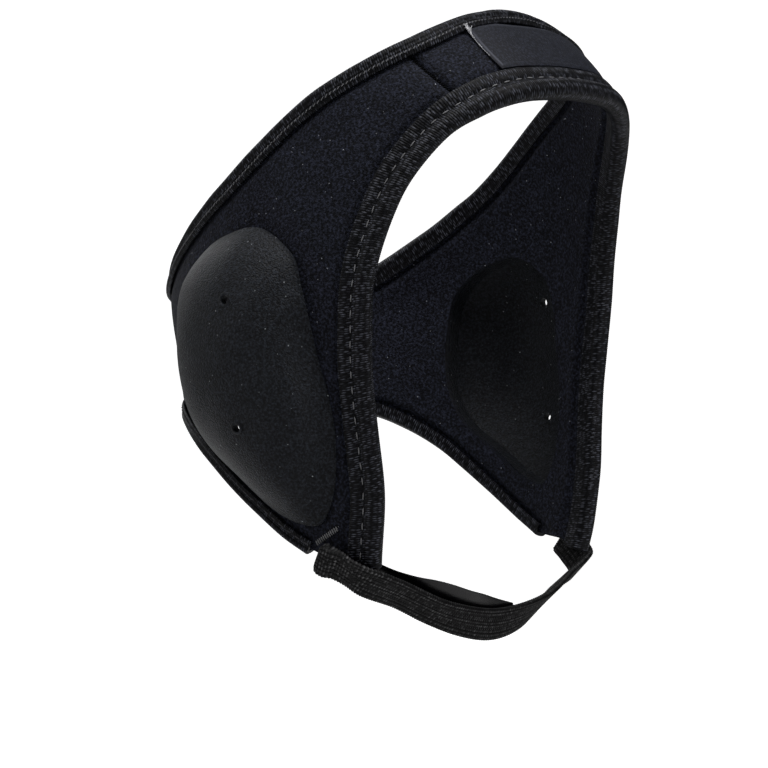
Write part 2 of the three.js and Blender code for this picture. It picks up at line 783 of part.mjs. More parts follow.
// The first share of a line of places that lies a distance clear of an edge
function firstShareBeyond(placeAt, reach, distance) {
  const steps = 60;
  for (let k = 0; k < steps; k += 1) {
    const place = placeAt(k / steps);
    if (reach(headPoint(place.turn, place.height)) >= distance) {
      return k / steps;
    }
  }
  return 1;
}

// Chin strap: a flat section carried along the route, turning to lie under the jaw
const strapOver = tapeOver + faceRollRise + clearance;
const seatPoints = strapSeat.map((row) => skinPoint(row.turn, heightOf(row.height), strapOver));
const freePoints = strapRoute.map((row) => new THREE.Vector3(
  -row.side * headHalfWidth, -row.forward * headHalfLength, row.height * cheekDrop));
const nearPoints = [...seatPoints, ...freePoints];
const acrossMiddle = (point) => new THREE.Vector3(-point.x, point.y, point.z);
const farPoints = nearPoints.slice(0, -1).reverse().map(acrossMiddle);
const routeCurve = new THREE.CatmullRomCurve3([...nearPoints, ...farPoints], false, "centripetal");
const nearLeans = [...strapSeat, ...strapRoute].map((row) => row.lean);
const routeLeans = [...nearLeans, ...nearLeans.slice(0, -1).reverse()];
const leanAt = smoothColumn(routeLeans.map((lean, k) => k), routeLeans);

function strapFrame(share) {
  const place = routeCurve.getPoint(share);
  const along = routeCurve.getTangent(share);
  const up = new THREE.Vector3(0, 0, 1);
  up.addScaledVector(along, -up.dot(along)).normalize();
  const front = new THREE.Vector3().crossVectors(along, up);
  const lean = THREE.MathUtils.degToRad(leanAt(share * (routeLeans.length - 1)));
  const across = up.clone().multiplyScalar(Math.sin(lean)).addScaledVector(front, Math.cos(lean));
  const face = new THREE.Vector3().crossVectors(along, across).normalize();
  return { place, across, face };
}

function flatSection(halfWidth, wall) {
  const corner = webbingCorner * Math.min(wall, strapWall);
  return [
    [-halfWidth, corner], [-halfWidth, wall - corner], [corner - halfWidth, wall], [halfWidth - corner, wall],
    [halfWidth, wall - corner], [halfWidth, corner], [halfWidth - corner, 0], [corner - halfWidth, 0],
  ];
}

// A flat strip swept through frames: each has its place, along, across and face, a width and a wall
function webbing(frames) {
  const rings = frames.map(({ place, across, face, width, wall }) =>
    flatSection(width / 2, wall).map(([sideways, level]) =>
      place.clone().addScaledVector(across, sideways).addScaledVector(face, level)));
  const swept = sweepRings(rings, flatSection(frames[0].width / 2, frames[0].wall), false);
  return solidMesh(swept.points, swept.triangles);
}

function chinStrap() {
  const frames = [];
  for (let i = 0; i <= strapStations; i += 1) {
    const share = i / strapStations;
    const fromEnd = Math.min(share, 1 - share) / strapEndShare;
    const wall = THREE.MathUtils.lerp(strapEndWall, strapWall, ease(fromEnd - 1));
    frames.push({ ...strapFrame(share), width: strapWidth, wall });
  }
  return webbing(frames);
}

// One edge of the tab's inner face: tucked in under the cheek tip, then close behind the strap
function tabEdge(side) {
  const points = tabRows.map(({ share, rise, behind }) => {
    const { place, across, face } = strapFrame(share);
    place.addScaledVector(across, side * strapWidth / 2).addScaledVector(face, -behind - tabWall);
    return side > 0 ? place.add(new THREE.Vector3(0, 0, rise)) : place.addScaledVector(across, tabLap);
  });
  return new THREE.CatmullRomCurve3(points, false, "centripetal");
}

function chinTab() {
  const [lowEdge, highEdge] = [tabEdge(-1), tabEdge(1)];
  const frames = [];
  for (let i = 0; i <= tabStations; i += 1) {
    const share = i / tabStations;
    const low = lowEdge.getPoint(share);
    const high = highEdge.getPoint(share);
    const along = lowEdge.getTangent(share).add(highEdge.getTangent(share)).normalize();
    const across = high.clone().sub(low);
    const width = across.length();
    across.normalize();
    const face = new THREE.Vector3().crossVectors(along, across).normalize();
    frames.push({ place: low.lerp(high, 0.5), across, face, width, wall: tabWall });
  }
  return webbing(frames);
}

function named(name, geometry, colour, roughness) {
  geometry.computeVertexNormals();
  const material = new THREE.MeshStandardMaterial({ color: colour, roughness, metalness: 0 });
  const mesh = new THREE.Mesh(geometry, material);
  mesh.name = name;
  return mesh;
}

const faceSection = (row) => {
  const brow = 1 - ease(Math.abs(row) / (seamRow + browFadeRows));
  const rise = THREE.MathUtils.lerp(faceRollRise, faceRollRise + browRollRise, brow);
  return tapeSection(faceTapeWidth, faceTapeInside, faceRollWidth, rise, faceGroove);
};
const narrowSection = (width, inside, rise, groove) => () =>
  tapeSection(width, inside, width * narrowRollShare, rise, groove);
const crownSection = narrowSection(crownTapeWidth, crownTapeInside, crownRollRise, crownGroove);
const neckSection = narrowSection(neckTapeWidth, neckTapeInside, neckRollRise, 0);

const sideStart = seamRow + halfGapRows(seamRow);
const sideEnd = napeRow - halfGapRows(napeRow);
const sidePanel = subtract(bandPanel(sideStart, sideEnd), [earHolePlug()]);
const foreheadEnd = seamRow - halfGapRows(seamRow);
const cup = subtract(cupShell(), vents.map(ventPlug));
const crownRows = evenRows(crownEdge, -napeRow, napeRow, crownStations).slice(0, -1);
const faceRows = evenRows(outerEdge, -tipFrontRow, tipFrontRow, faceStations);

// The neck tape runs from cheek tip to cheek tip round the nape
const neckStart = tipBackRow + neckStartRows;
const pastNape = (row) => (row <= napeRow ? row : row - 2 * napeRow);
const neckEdge = (row) => outerEdge(pastNape(row));
const neckRows = evenRows(neckEdge, neckStart, 2 * napeRow - neckStart, neckStations).map(pastNape);

const earGuard = new THREE.Group();
earGuard.add(
  named("forehead_panel", bandPanel(-foreheadEnd, foreheadEnd), neopreneColour, 0.85),
  named("side_panel_right", sidePanel, neopreneColour, 0.85),
  named("side_panel_left", mirrored(sidePanel), neopreneColour, 0.85),
  named("ear_cup_right", cup, cupColour, 0.6),
  named("ear_cup_left", mirrored(cup), cupColour, 0.6),
  named("face_binding", edgeTape(outerEdge, faceRows, faceSection, false, -1), tapeColour, 0.8),
  named("crown_binding", edgeTape(crownEdge, crownRows, crownSection, true, 1), tapeColour, 0.8),
  named("neck_binding", edgeTape(outerEdge, neckRows, neckSection, false, -1), tapeColour, 0.8),
  named("chin_strap", chinStrap(), strapColour, 0.9),
  named("chin_tab", chinTab(), neopreneColour, 0.8),
  named("label_patch", labelPatch(), labelColour, 0.75),
);

export default earGuard;
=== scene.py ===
import math
from functools import partial

import bmesh
import bpy
import numpy as np
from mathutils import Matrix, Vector


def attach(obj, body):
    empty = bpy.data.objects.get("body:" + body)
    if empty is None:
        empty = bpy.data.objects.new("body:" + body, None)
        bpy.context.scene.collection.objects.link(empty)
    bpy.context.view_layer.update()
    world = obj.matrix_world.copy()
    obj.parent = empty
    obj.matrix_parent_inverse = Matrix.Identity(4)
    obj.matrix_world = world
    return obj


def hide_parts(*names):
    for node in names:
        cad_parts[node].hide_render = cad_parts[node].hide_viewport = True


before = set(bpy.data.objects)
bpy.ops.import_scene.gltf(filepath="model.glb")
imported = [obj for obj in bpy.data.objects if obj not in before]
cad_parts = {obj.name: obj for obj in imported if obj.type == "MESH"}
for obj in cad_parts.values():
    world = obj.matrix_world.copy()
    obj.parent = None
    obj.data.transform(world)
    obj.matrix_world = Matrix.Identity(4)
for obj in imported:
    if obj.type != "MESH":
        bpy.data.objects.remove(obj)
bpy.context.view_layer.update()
mm = 0.001
print("frame loaded:", len(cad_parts), "nodes")

# Camera: level with the ears, on the wearer's right and a little in front
cameraSetup = {
    "azimuth": -51, "distance": 1.4, "lens": 167.3, "frameSize": 768, "originPixel": (398, 326),
}


def addCamera(setup):
    camera = bpy.data.objects.new("camera", bpy.data.cameras.new("camera"))
    bpy.context.scene.collection.objects.link(camera)
    turn = math.radians(setup["azimuth"])
    back = Vector((math.sin(turn), -math.cos(turn), 0))
    camera.location = back * setup["distance"]
    camera.rotation_mode = "QUATERNION"
    camera.rotation_quaternion = (-back).to_track_quat("-Z", "Y")
    middle = setup["frameSize"] / 2
    camera.data.lens = setup["lens"]
    camera.data.shift_x = (middle - setup["originPixel"][0]) / setup["frameSize"]
    camera.data.shift_y = (setup["originPixel"][1] - middle) / setup["frameSize"]
    camera.data.clip_start = 0.05
    camera.data.clip_end = 20
    bpy.context.scene.camera = camera


addCamera(cameraSetup)

# Head form that the guard is cut for, in millimetres and shares of it.
# A turn goes round +Z from 0 at the face to 180 at the nape, on the wearer's right where positive.
head = {"halfWidth": 80, "halfLength": 83, "crownRise": 116, "cheekDrop": 90, "squareness": 2.2}
# height, centre, half width, half length
headSections = np.array([
    (-1.22, -0.07, 0.69, 0.81), (-0.98, -0.06, 0.84, 0.88), (-0.67, -0.05, 0.9, 0.915),
    (-0.34, -0.025, 0.95, 0.95), (0, -0.02, 0.99, 1.005), (0.13, -0.02, 1, 1.015),
    (0.345, -0.06, 0.97, 0.99), (0.52, -0.085, 0.93, 0.95), (0.655, -0.12, 0.88, 0.905),
    (0.725, -0.145, 0.845, 0.855), (0.8, -0.18, 0.79, 0.745), (0.895, -0.215, 0.705, 0.57),
    (0.955, -0.24, 0.62, 0.435), (1.01, -0.265, 0.505, 0.32), (1.055, -0.29, 0.375, 0.205),
])
# Band rows from the forehead to the nape: crown edge turn and height, outer edge turn and height
bandRows = np.array([
    (0, 1.005, 0, 0.722), (13, 1.003, 9, 0.72), (27, 0.994, 18.5, 0.713),
    (45, 0.966, 26.5, 0.695), (64, 0.884, 33.5, 0.664), (75, 0.819, 42, 0.601),
    (83, 0.762, 50, 0.473), (90, 0.7, 54.2, 0.358), (96, 0.634, 56.8, 0.216),
    (102, 0.562, 57.9, 0.052), (107, 0.504, 58.2, -0.167), (111, 0.461, 57.3, -0.444),
    (114.5, 0.429, 56.8, -0.711), (117.5, 0.4, 58.5, -0.983), (120.5, 0.369, 79.5, -0.95),
    (123.5, 0.339, 90.8, -0.861), (126.5, 0.31, 102, -0.75), (130, 0.276, 111, -0.65),
    (134, 0.237, 119, -0.556), (139, 0.194, 128.5, -0.467), (147, 0.153, 139, -0.4),
    (161, 0.125, 156, -0.35), (180, 0.116, 180, -0.333),
])
seamRow, tipFrontRow, tipBackRow, napeRow = 4, 13, 14, len(bandRows) - 1

band = {
    "wall": 5, "pressedWall": 2.4, "seamWall": 3.8, "seamShoulder": 5, "gap": 0.3, "tapeWall": 1.2,
    "tapeSlack": 0.7, "tapeShoulder": 2.4, "tapeLie": 0.12, "ridgeInset": 1.6, "ridgeHalf": 0.75,
}
pressedUnder = band["tapeWall"] + band["tapeSlack"]
pressedOver = pressedUnder + band["pressedWall"]
tapeUnder = pressedOver + band["tapeSlack"]
tapeOver = tapeUnder + band["tapeWall"]
padInset = band["tapeWall"] + band["tapeSlack"] + band["gap"]


def heightOf(share):
    share = np.asarray(share, float)
    return share * np.where(share > 0, head["crownRise"], head["cheekDrop"])


def cubic(f, start, end, slopeIn, slopeOut):
    return (
        (1 + 2 * f) * (1 - f) ** 2 * start + f * f * (3 - 2 * f) * end
        + f * (1 - f) ** 2 * slopeIn + f * f * (f - 1) * slopeOut
    )


def smoothColumn(places, values):
    before = np.maximum(np.arange(len(values)) - 1, 0)
    after = np.minimum(np.arange(len(values)) + 1, len(values) - 1)
    slopes = (values[after] - values[before]) / (places[after] - places[before])

    def at(place):
        k = np.clip(np.searchsorted(places, place, side="left") - 1, 0, len(places) - 2)
        span = places[k + 1] - places[k]
        f = (place - places[k]) / span
        return cubic(f, values[k], values[k + 1], span * slopes[k], span * slopes[k + 1])

    return at


sectionHeights = heightOf(headSections[:, 0])
centreAt = smoothColumn(sectionHeights, headSections[:, 1] * head["halfLength"])
halfWidthAt = smoothColumn(sectionHeights, headSections[:, 2] * head["halfWidth"])
halfLengthAt = smoothColumn(sectionHeights, headSections[:, 3] * head["halfLength"])


def headPoint(turn, height):
    angle = np.radians(turn)
    n = head["squareness"]
    across = np.abs(np.sin(angle)) / halfWidthAt(height)
    along = np.abs(np.cos(angle)) / halfLengthAt(height)
    reach = (across ** n + along ** n) ** (-1 / n)
    x = -reach * np.sin(angle)
    y = centreAt(height) - reach * np.cos(angle)
    return np.stack([x, y, height + 0 * x], -1)


def dot(a, b):
    return (a * b).sum(-1)


def unit(a):
    return a / np.linalg.norm(a, axis=-1, keepdims=True)


def travelled(points):
    # How far along a line each of its points lies
    return np.insert(np.cumsum(np.linalg.norm(np.diff(points, axis=0), axis=-1)), 0, 0)


def evenly(line, start, end, spacing=None, count=None, samples=1600):
    # Places on a line at even lengths, and those lengths
    samples = np.linspace(start, end, samples)
    reached = travelled(line(samples))
    lengths = np.linspace(0, reached[-1], (count or int(round(reached[-1] / spacing))) + 1)
    return np.interp(lengths, reached, samples), lengths


def bunched(f, share):
    # Shares from 0 to 1 that crowd together towards both ends
    return (1 - share) * f + share * (0.5 - 0.5 * np.cos(math.pi * f))


def slopesAt(turn, height):
    perTurn = headPoint(turn + 0.5, height) - headPoint(turn - 0.5, height)
    perHeight = headPoint(turn, height + 0.5) - headPoint(turn, height - 0.5)
    return perTurn, perHeight


def outwardAt(turn, height):
    perTurn, perHeight = slopesAt(turn, height)
    return unit(np.cross(perHeight, perTurn))


def skinPoint(turn, height, depth):
    return headPoint(turn, height) + outwardAt(turn, height) * np.asarray(depth)[..., None]


def walk(turn, height, heading, distance, steps=5):
    # Where a straight walk over the skin ends up, taken in short steps
    turn = turn + 0 * distance
    height = height + 0 * distance
    heading = heading + 0 * distance[..., None]
    for _ in range(steps):
        perTurn, perHeight = slopesAt(turn, height)
        out = unit(np.cross(perHeight, perTurn))
        heading = unit(heading - out * dot(heading, out)[..., None])
        turnTurn, riseRise = dot(perTurn, perTurn), dot(perHeight, perHeight)
        turnRise = dot(perTurn, perHeight)
        spread = turnTurn * riseRise - turnRise ** 2
        inTurn, inRise = dot(heading, perTurn), dot(heading, perHeight)
        turn = turn + (inTurn * riseRise - inRise * turnRise) / spread * distance / steps
        height = height + (inRise * turnTurn - inTurn * turnRise) / spread * distance / steps
    return turn, height


def rowColumn(values, isTurn, corners=()):
    ahead = np.append(values[1:], 2 * 180 - values[-2] if isTurn else values[-2])
    behind = np.insert(values[:-1], 0, -values[1] if isTurn else values[1])
    slopes = (ahead - behind) / 2
    chords = np.diff(values)
    slopeIn, slopeOut = slopes[:-1].copy(), slopes[1:].copy()
    for corner in corners:
        slopeIn[corner] = chords[corner]
        slopeOut[corner - 1] = chords[corner - 1]

    def at(row):
        place = np.abs(row)
        k = np.clip(np.floor(place).astype(int), 0, napeRow - 1)
        value = cubic(place - k, values[k], values[k + 1], slopeIn[k], slopeOut[k])
        return np.where(np.asarray(row) < 0, -value, value) if isTurn else heightOf(value)

    return at


crownTurn, crownHeight = rowColumn(bandRows[:, 0], True), rowColumn(bandRows[:, 1], False)
tipCorners = (tipFrontRow, tipBackRow)
outerTurn = rowColumn(bandRows[:, 2], True, tipCorners)
outerHeight = rowColumn(bandRows[:, 3], False, tipCorners)


def crownEdge(row):
    return crownTurn(row), crownHeight(row)


def outerEdge(row):
    return outerTurn(row), outerHeight(row)


def acrossBand(row, share):
    turnIn, heightIn = crownEdge(row)
    turnOut, heightOut = outerEdge(row)
    return turnIn + (turnOut - turnIn) * share, heightIn + (heightOut - heightIn) * share


def edgeTrack(edge, start, end, steps=220):
    return headPoint(*edge(np.linspace(start, end, steps + 1)))


crownTrack = edgeTrack(crownEdge, -napeRow, napeRow, 400)
faceTrack = edgeTrack(outerEdge, -tipFrontRow, tipFrontRow, 300)
neckTracks = [edgeTrack(outerEdge, side * tipBackRow, side * napeRow) for side in (1, -1)]
tipTracks = [edgeTrack(outerEdge, side * tipFrontRow, side * tipBackRow, 30) for side in (1, -1)]
seamTracks = [headPoint(*acrossBand(side * seamRow, np.linspace(0, 1, 60))) for side in (1, -1)]


def distanceTo(tracks, points):
    flat = points.reshape(-1, 3)
    least = np.full(len(flat), np.inf)
    for track in tracks:
        start, step = track[:-1], np.diff(track, axis=0)
        for low in range(0, len(flat), 2000):
            part = flat[low:low + 2000, None]
            f = np.clip(dot(part - start, step) / dot(step, step), 0, 1)
            gap = np.linalg.norm(part - start - step * f[..., None], axis=-1).min(1)
            least[low:low + 2000] = np.minimum(least[low:low + 2000], gap)
    return least.reshape(points.shape[:-1])


def ease(share):
    f = np.clip(share, 0, 1)
    return f * f * (3 - 2 * f)


def softNoise(points, size, seed, waves=7):
    # Smooth unevenness from a few waves in seeded directions, about -1 to 1
    rng = np.random.default_rng(seed)
    total = 0
    for _ in range(waves):
        direction = unit(rng.normal(size=3)) * rng.uniform(0.6, 1.5) * 2 * math.pi / size
        total = total + np.sin(points @ direction + rng.uniform(0, 2 * math.pi))
    return total / math.sqrt(waves)


def addObject(name, mesh):
    piece = bpy.data.objects.new(name, mesh)
    bpy.context.scene.collection.objects.link(piece)
    return piece


def gridPiece(name, grid, closeRows=False, closeColumns=False, caps=None, lengths=None, sharp=40):
    # A mesh over a grid of points in millimetres, with a UV map in metres along and across it
    rows, columns = grid.shape[:2]
    i = np.arange(rows if closeRows else rows - 1)[:, None]
    j = np.arange(columns if closeColumns else columns - 1)[None]
    nextI, nextJ = (i + 1) % rows, (j + 1) % columns
    corners = [row * columns + column for row, column in ((i, j), (nextI, j), (nextI, nextJ), (i, nextJ))]
    faces = np.stack(corners, -1).reshape(-1, 4).tolist()
    looped = np.concatenate([grid, grid[:1]], 0)
    wrapped = np.concatenate([grid, grid[:, :1]], 1)
    if lengths is None:
        lengths = travelled(looped[:, columns // 4])
    widths = travelled(wrapped[rows // 2])
    along = lengths[np.stack([i, i + 1, i + 1, i], -1) + 0 * j[..., None]]
    across = widths[np.stack([j, j, j + 1, j + 1], -1) + 0 * i[..., None]]
    uv = np.stack([along, across], -1).reshape(-1, 2)
    if caps == "zip":
        half = columns // 2
        for row in (0, rows - 1):
            for k in range(half - 1):
                corners = (k, k + 1, columns - 2 - k, columns - 1 - k)
                faces.append([row * columns + c for c in corners])
                uv = np.concatenate([uv, [(lengths[row], widths[c]) for c in corners]])
    elif caps == "flat":
        for row in (0, rows - 1):
            faces.append([row * columns + c for c in range(columns)])
            uv = np.concatenate([uv, [(lengths[row], widths[c]) for c in range(columns)]])
    mesh = bpy.data.meshes.new(name)
    mesh.from_pydata((grid.reshape(-1, 3) * mm).tolist(), [], faces)
    mesh.uv_layers.new(name="UVMap").data.foreach_set("uv", (uv * mm).ravel())
    tidyMesh(mesh, sharp)
    return addObject(name, mesh)


def sweptPiece(name, middle, across, face, sideways, level, **settings):
    # A closed section carried along a line, with flat ends
    points = middle[:, None] + across[:, None] * sideways[..., None] + face[:, None] * level[..., None]
    return gridPiece(name, points, closeColumns=True, caps="flat", **settings)


def tidyMesh(mesh, sharp=40):
    work = bmesh.new()
    work.from_mesh(mesh)
    bmesh.ops.remove_doubles(work, verts=work.verts, dist=2e-7)
    bmesh.ops.dissolve_degenerate(work, edges=work.edges, dist=1e-8)
    bmesh.ops.recalc_face_normals(work, faces=work.faces)
    work.to_mesh(mesh)
    work.free()
    mesh.shade_smooth()
    mesh.set_sharp_from_angle(angle=math.radians(sharp))


def settled(piece):
    # The evaluated mesh in place of the modifiers
    graph = bpy.context.evaluated_depsgraph_get()
    mesh = bpy.data.meshes.new_from_object(
        piece.evaluated_get(graph), preserve_all_data_layers=True, depsgraph=graph
    )
    piece.modifiers.clear()
    old, piece.data = piece.data, mesh
    mesh.name = piece.name
    if old.users == 0:
        bpy.data.meshes.remove(old)
    return piece


def cutBy(piece, cutters):
    for cutter in cutters:
        modifier = piece.modifiers.new("cut", "BOOLEAN")
        modifier.object = cutter
        modifier.solver = "EXACT"
    settled(piece)
    for cutter in cutters:
        bpy.data.objects.remove(cutter)
    tidyMesh(piece.data)
    return piece


# Materials
def newMaterial(name):
    material = bpy.data.materials.new(name)
    material.use_nodes = True
    tree = material.node_tree
    tree.nodes.clear()
    output, shader = (tree.nodes.new(f"ShaderNode{kind}") for kind in ("OutputMaterial", "BsdfPrincipled"))
    tree.links.new(shader.outputs["BSDF"], output.inputs["Surface"])
    return material, tree, shader


def addSocket(tree, name, kind, value=None, way="INPUT"):
    socket = tree.interface.new_socket(name, in_out=way, socket_type="NodeSocket" + kind)
    if value is not None:
        socket.default_value = value


def newGroup(name, sizes, outputs):
    group = bpy.data.node_groups.new(name, "ShaderNodeTree")
    addSocket(group, "Vector", "Vector")
    for size, value in sizes:
        addSocket(group, size, "Float", value)
    for output in outputs:
        addSocket(group, output, "Float", way="OUTPUT")
    return group, group.nodes.new("NodeGroupInput"), group.nodes.new("NodeGroupOutput")


def finishGroup(group, made, values):
    for output, value in values.items():
        group.links.new(value, made.inputs[output])
    return group


def addNode(tree, kind, inputs=None, **settings):
    # A node with its inputs, by name or number, linked from an output or set to a value
    node = tree.nodes.new(kind)
    for setting, value in settings.items():
        setattr(node, setting, value)
    for key, value in (inputs or {}).items():
        if isinstance(value, bpy.types.NodeSocket):
            tree.links.new(value, node.inputs[key])
        else:
            node.inputs[key].default_value = value
    return node


def mathNode(tree, operation, first, second=None, clamp=False):
    inputs = {0: first} if second is None else {0: first, 1: second}
    return addNode(tree, "ShaderNodeMath", inputs, operation=operation, use_clamp=clamp).outputs[0]


def buildKnit():
    # Fine jersey: mottled grain, a fine loop relief and stray pale specks
    sizes = (("Loop Size", 0.0006), ("Speck Spacing", 0.004), ("Speck Size", 0.07))
    group, given, made = newGroup("knitFace", sizes, ("Grain", "Specks", "Height"))
    vector = given.outputs["Vector"]
    maths = partial(mathNode, group)

    def cells(size):
        inputs = {"Vector": vector, "Scale": maths("DIVIDE", 1.0, given.outputs[size])}
        return addNode(group, "ShaderNodeTexVoronoi", inputs, feature="F1")

    loops, specks = cells("Loop Size"), cells("Speck Spacing")
    mottleScale = maths("DIVIDE", 0.7, given.outputs["Loop Size"])
    mottle = addNode(group, "ShaderNodeTexNoise", {"Detail": 3, "Vector": vector, "Scale": mottleScale})
    isSpeck = maths("LESS_THAN", specks.outputs["Distance"], given.outputs["Speck Size"])
    chosen = addNode(group, "ShaderNodeSeparateColor", {"Color": specks.outputs["Color"]})
    bright = maths("MULTIPLY", isSpeck, maths("POWER", chosen.outputs["Red"], 2.0))
    contrast = maths("MULTIPLY", maths("SUBTRACT", mottle.outputs["Fac"], 0.42), 4.0, clamp=True)
    mesh = maths("ADD", 0.35, loops.outputs["Distance"])
    return finishGroup(group, made, {
        "Grain": maths("MULTIPLY", contrast, mesh, clamp=True),
        "Specks": bright,
        "Height": maths("SUBTRACT", mottle.outputs["Fac"], loops.outputs["Distance"]),
    })


def buildThreads():
    # Ribs across a tape with short lit stretches of thread on them, by the UV map; the lit stretches are
    # painted highlights that lighten the colour over a real rib pattern
    sizes = (("Pitch", 0.001), ("Across", 0.0012), ("Slant", 0.1), ("Disorder", 0.6), ("Uneven", 1.0))
    group, given, made = newGroup("threadRibs", sizes, ("Painted Glint", "Height"))
    maths = partial(mathNode, group)
    parts = addNode(group, "ShaderNodeSeparateXYZ", {0: given.outputs["Vector"]})
    leaning = maths("MULTIPLY", parts.outputs["Y"], given.outputs["Slant"])
    along = maths("DIVIDE", maths("ADD", parts.outputs["X"], leaning), given.outputs["Pitch"])
    across = maths("DIVIDE", parts.outputs["Y"], given.outputs["Across"])
    wave = maths("COSINE", maths("MULTIPLY", along, 2 * math.pi))
    rib = maths("SUBTRACT", 0.5, maths("MULTIPLY", wave, 0.5))
    cell = addNode(group, "ShaderNodeCombineXYZ", {"X": along, "Y": across}).outputs[0]
    threads = addNode(
        group, "ShaderNodeTexVoronoi", {"Scale": 1, "Vector": cell, "Randomness": given.outputs["Disorder"]},
        voronoi_dimensions="2D",
    )
    tone = addNode(group, "ShaderNodeSeparateColor", {"Color": threads.outputs["Color"]})
    knob = maths("SUBTRACT", 1.0, maths("MULTIPLY", threads.outputs["Distance"], 2.0), clamp=True)
    loss = maths("SUBTRACT", 1.0, maths("POWER", tone.outputs["Red"], 1.5))
    kept = maths("SUBTRACT", 1.0, maths("MULTIPLY", loss, given.outputs["Uneven"]))
    # Painted highlight: the glint lightens the colour where a thread knob sits on a rib crest
    lit = maths("MULTIPLY", maths("MULTIPLY", knob, kept), maths("ADD", 0.25, rib))
    paintedGlint = maths("MULTIPLY", lit, 1.3, clamp=True)
    return finishGroup(group, made, {"Painted Glint": paintedGlint, "Height": maths("ADD", rib, knob)})


knitFace = buildKnit()
threadRibs = buildThreads()


def mixColours(tree, mask, low, high):
    node = addNode(tree, "ShaderNodeMix", data_type="RGBA")
    tree.links.new(mask, node.inputs["Factor"])
    for socket, value in ((node.inputs["A"], low), (node.inputs["B"], high)):
        if isinstance(value, tuple):
            socket.default_value = (*value, 1)
        else:
            tree.links.new(value, socket)
    return node.outputs["Result"]


def finishShader(tree, shader, colour, height, look, strength=0.8):
    bump = addNode(
        tree, "ShaderNodeBump", {"Distance": look["relief"], "Strength": strength, "Height": height}
    )
    tree.links.new(colour, shader.inputs["Base Color"])
    tree.links.new(bump.outputs["Normal"], shader.inputs["Normal"])
    shader.inputs["Roughness"].default_value = look["roughness"]
    shader.inputs["Specular IOR Level"].default_value = look["specular"]


def placeGroup(tree, group, settings, space):
    inputs = {"Vector": textureVector(tree, space), **settings}
    return addNode(tree, "ShaderNodeGroup", inputs, node_tree=group)


def textureVector(tree, output):
    return tree.nodes.new("ShaderNodeTexCoord").outputs[output]


knitLooks = {
    "neopreneKnit": {
        "low": (0.0009, 0.001, 0.0018), "high": (0.0098, 0.0112, 0.0185), "speck": (0.13, 0.135, 0.15),
        "loop": 0.0007, "spacing": 0.003, "speckSize": 0.085, "roughness": 0.8, "sheen": 0.012,
        "specular": 0.05, "relief": 0.0003,
    },
    "cupKnit": {
        "low": (0.0008, 0.001, 0.0015), "high": (0.0088, 0.0104, 0.0138), "speck": (0.15, 0.16, 0.17),
        "loop": 0.00065, "spacing": 0.0029, "speckSize": 0.085, "roughness": 0.55, "sheen": 0.025,
        "specular": 0.07, "relief": 0.00028,
    },
    "tabCloth": {
        "low": (0.0006, 0.0006, 0.0008), "high": (0.0015, 0.0015, 0.002), "speck": (0.012, 0.012, 0.012),
        "loop": 0.0004, "spacing": 0.006, "speckSize": 0.05, "roughness": 0.24, "sheen": 0.0,
        "specular": 0.12, "relief": 0.00005,
    },
}


def knitMaterial(name):
    look = knitLooks[name]
    material, tree, shader = newMaterial(name)
    settings = {"Loop Size": look["loop"], "Speck Spacing": look["spacing"], "Speck Size": look["speckSize"]}
    knit = placeGroup(tree, knitFace, settings, "Object")
    cloth = mixColours(tree, knit.outputs["Grain"], look["low"], look["high"])
    colour = mixColours(tree, knit.outputs["Specks"], cloth, look["speck"])
    shader.inputs["Sheen Weight"].default_value = look["sheen"]
    shader.inputs["Sheen Roughness"].default_value = 0.4
    finishShader(tree, shader, colour, knit.outputs["Height"], look)
    return material


# Each look's high colour is the painted highlight of the thread glints; its low colour is the near-black
# tape itself
threadLooks = {
    "tapeThreads": {
        "low": (0.0005, 0.0005, 0.0008), "high": (0.034, 0.036, 0.045), "pitch": 0.0008, "across": 0.0026,
        "slant": 0.12, "disorder": 0.6, "uneven": 0.9, "roughness": 0.5, "specular": 0.05,
        "relief": 0.00012,
    },
    "webbingThreads": {
        "low": (0.0001, 0.0001, 0.0002), "high": (0.066, 0.066, 0.068), "pitch": 0.0012,
        "across": 0.0022, "slant": 0.0, "disorder": 0.22, "uneven": 0.85, "roughness": 0.5,
        "specular": 0.05, "relief": 0.0003,
    },
}


def threadMaterial(name):
    look = threadLooks[name]
    material, tree, shader = newMaterial(name)
    settings = {name.title(): look[name] for name in ("pitch", "across", "slant", "disorder", "uneven")}
    ribs = placeGroup(tree, threadRibs, settings, "UV")
    # Painted highlights: the glint mask lightens the colour from low to high
    colour = mixColours(tree, ribs.outputs["Painted Glint"], look["low"], look["high"])
    finishShader(tree, shader, colour, ribs.outputs["Height"], look)
    return material


# Colour and specular level of each sewing thread
plainThreads = {
    "darkThread": ((0.02, 0.02, 0.023), 0.2),
    "seamThread": ((0.0012, 0.0012, 0.0014), 0.02),
    "greyThread": ((0.1, 0.1, 0.105), 0.2),
    "tackThread": ((0.085, 0.085, 0.088), 0.2),
    "paleThread": ((0.36, 0.36, 0.38), 0.2),
}


def plainThread(name):
    colour, specular = plainThreads[name]
    material, tree, shader = newMaterial(name)
    inputs = {"Scale": 2500, "Vector": textureVector(tree, "Object")}
    twist = addNode(tree, "ShaderNodeTexNoise", inputs).outputs["Fac"]
    dark = tuple(0.45 * value for value in colour)
    look = {"roughness": 0.6, "specular": specular, "relief": 0.00008}
    finishShader(tree, shader, mixColours(tree, twist, dark, colour), twist, look, 0.5)
    return material


labelLook = {
    "ground": (0.0014, 0.0017, 0.0034), "shine": (0.013, 0.015, 0.024), "line": (0.026, 0.028, 0.036),
    "threadPitch": 0.0006, "roughness": 0.62, "specular": 0.08, "relief": 0.00006,
}


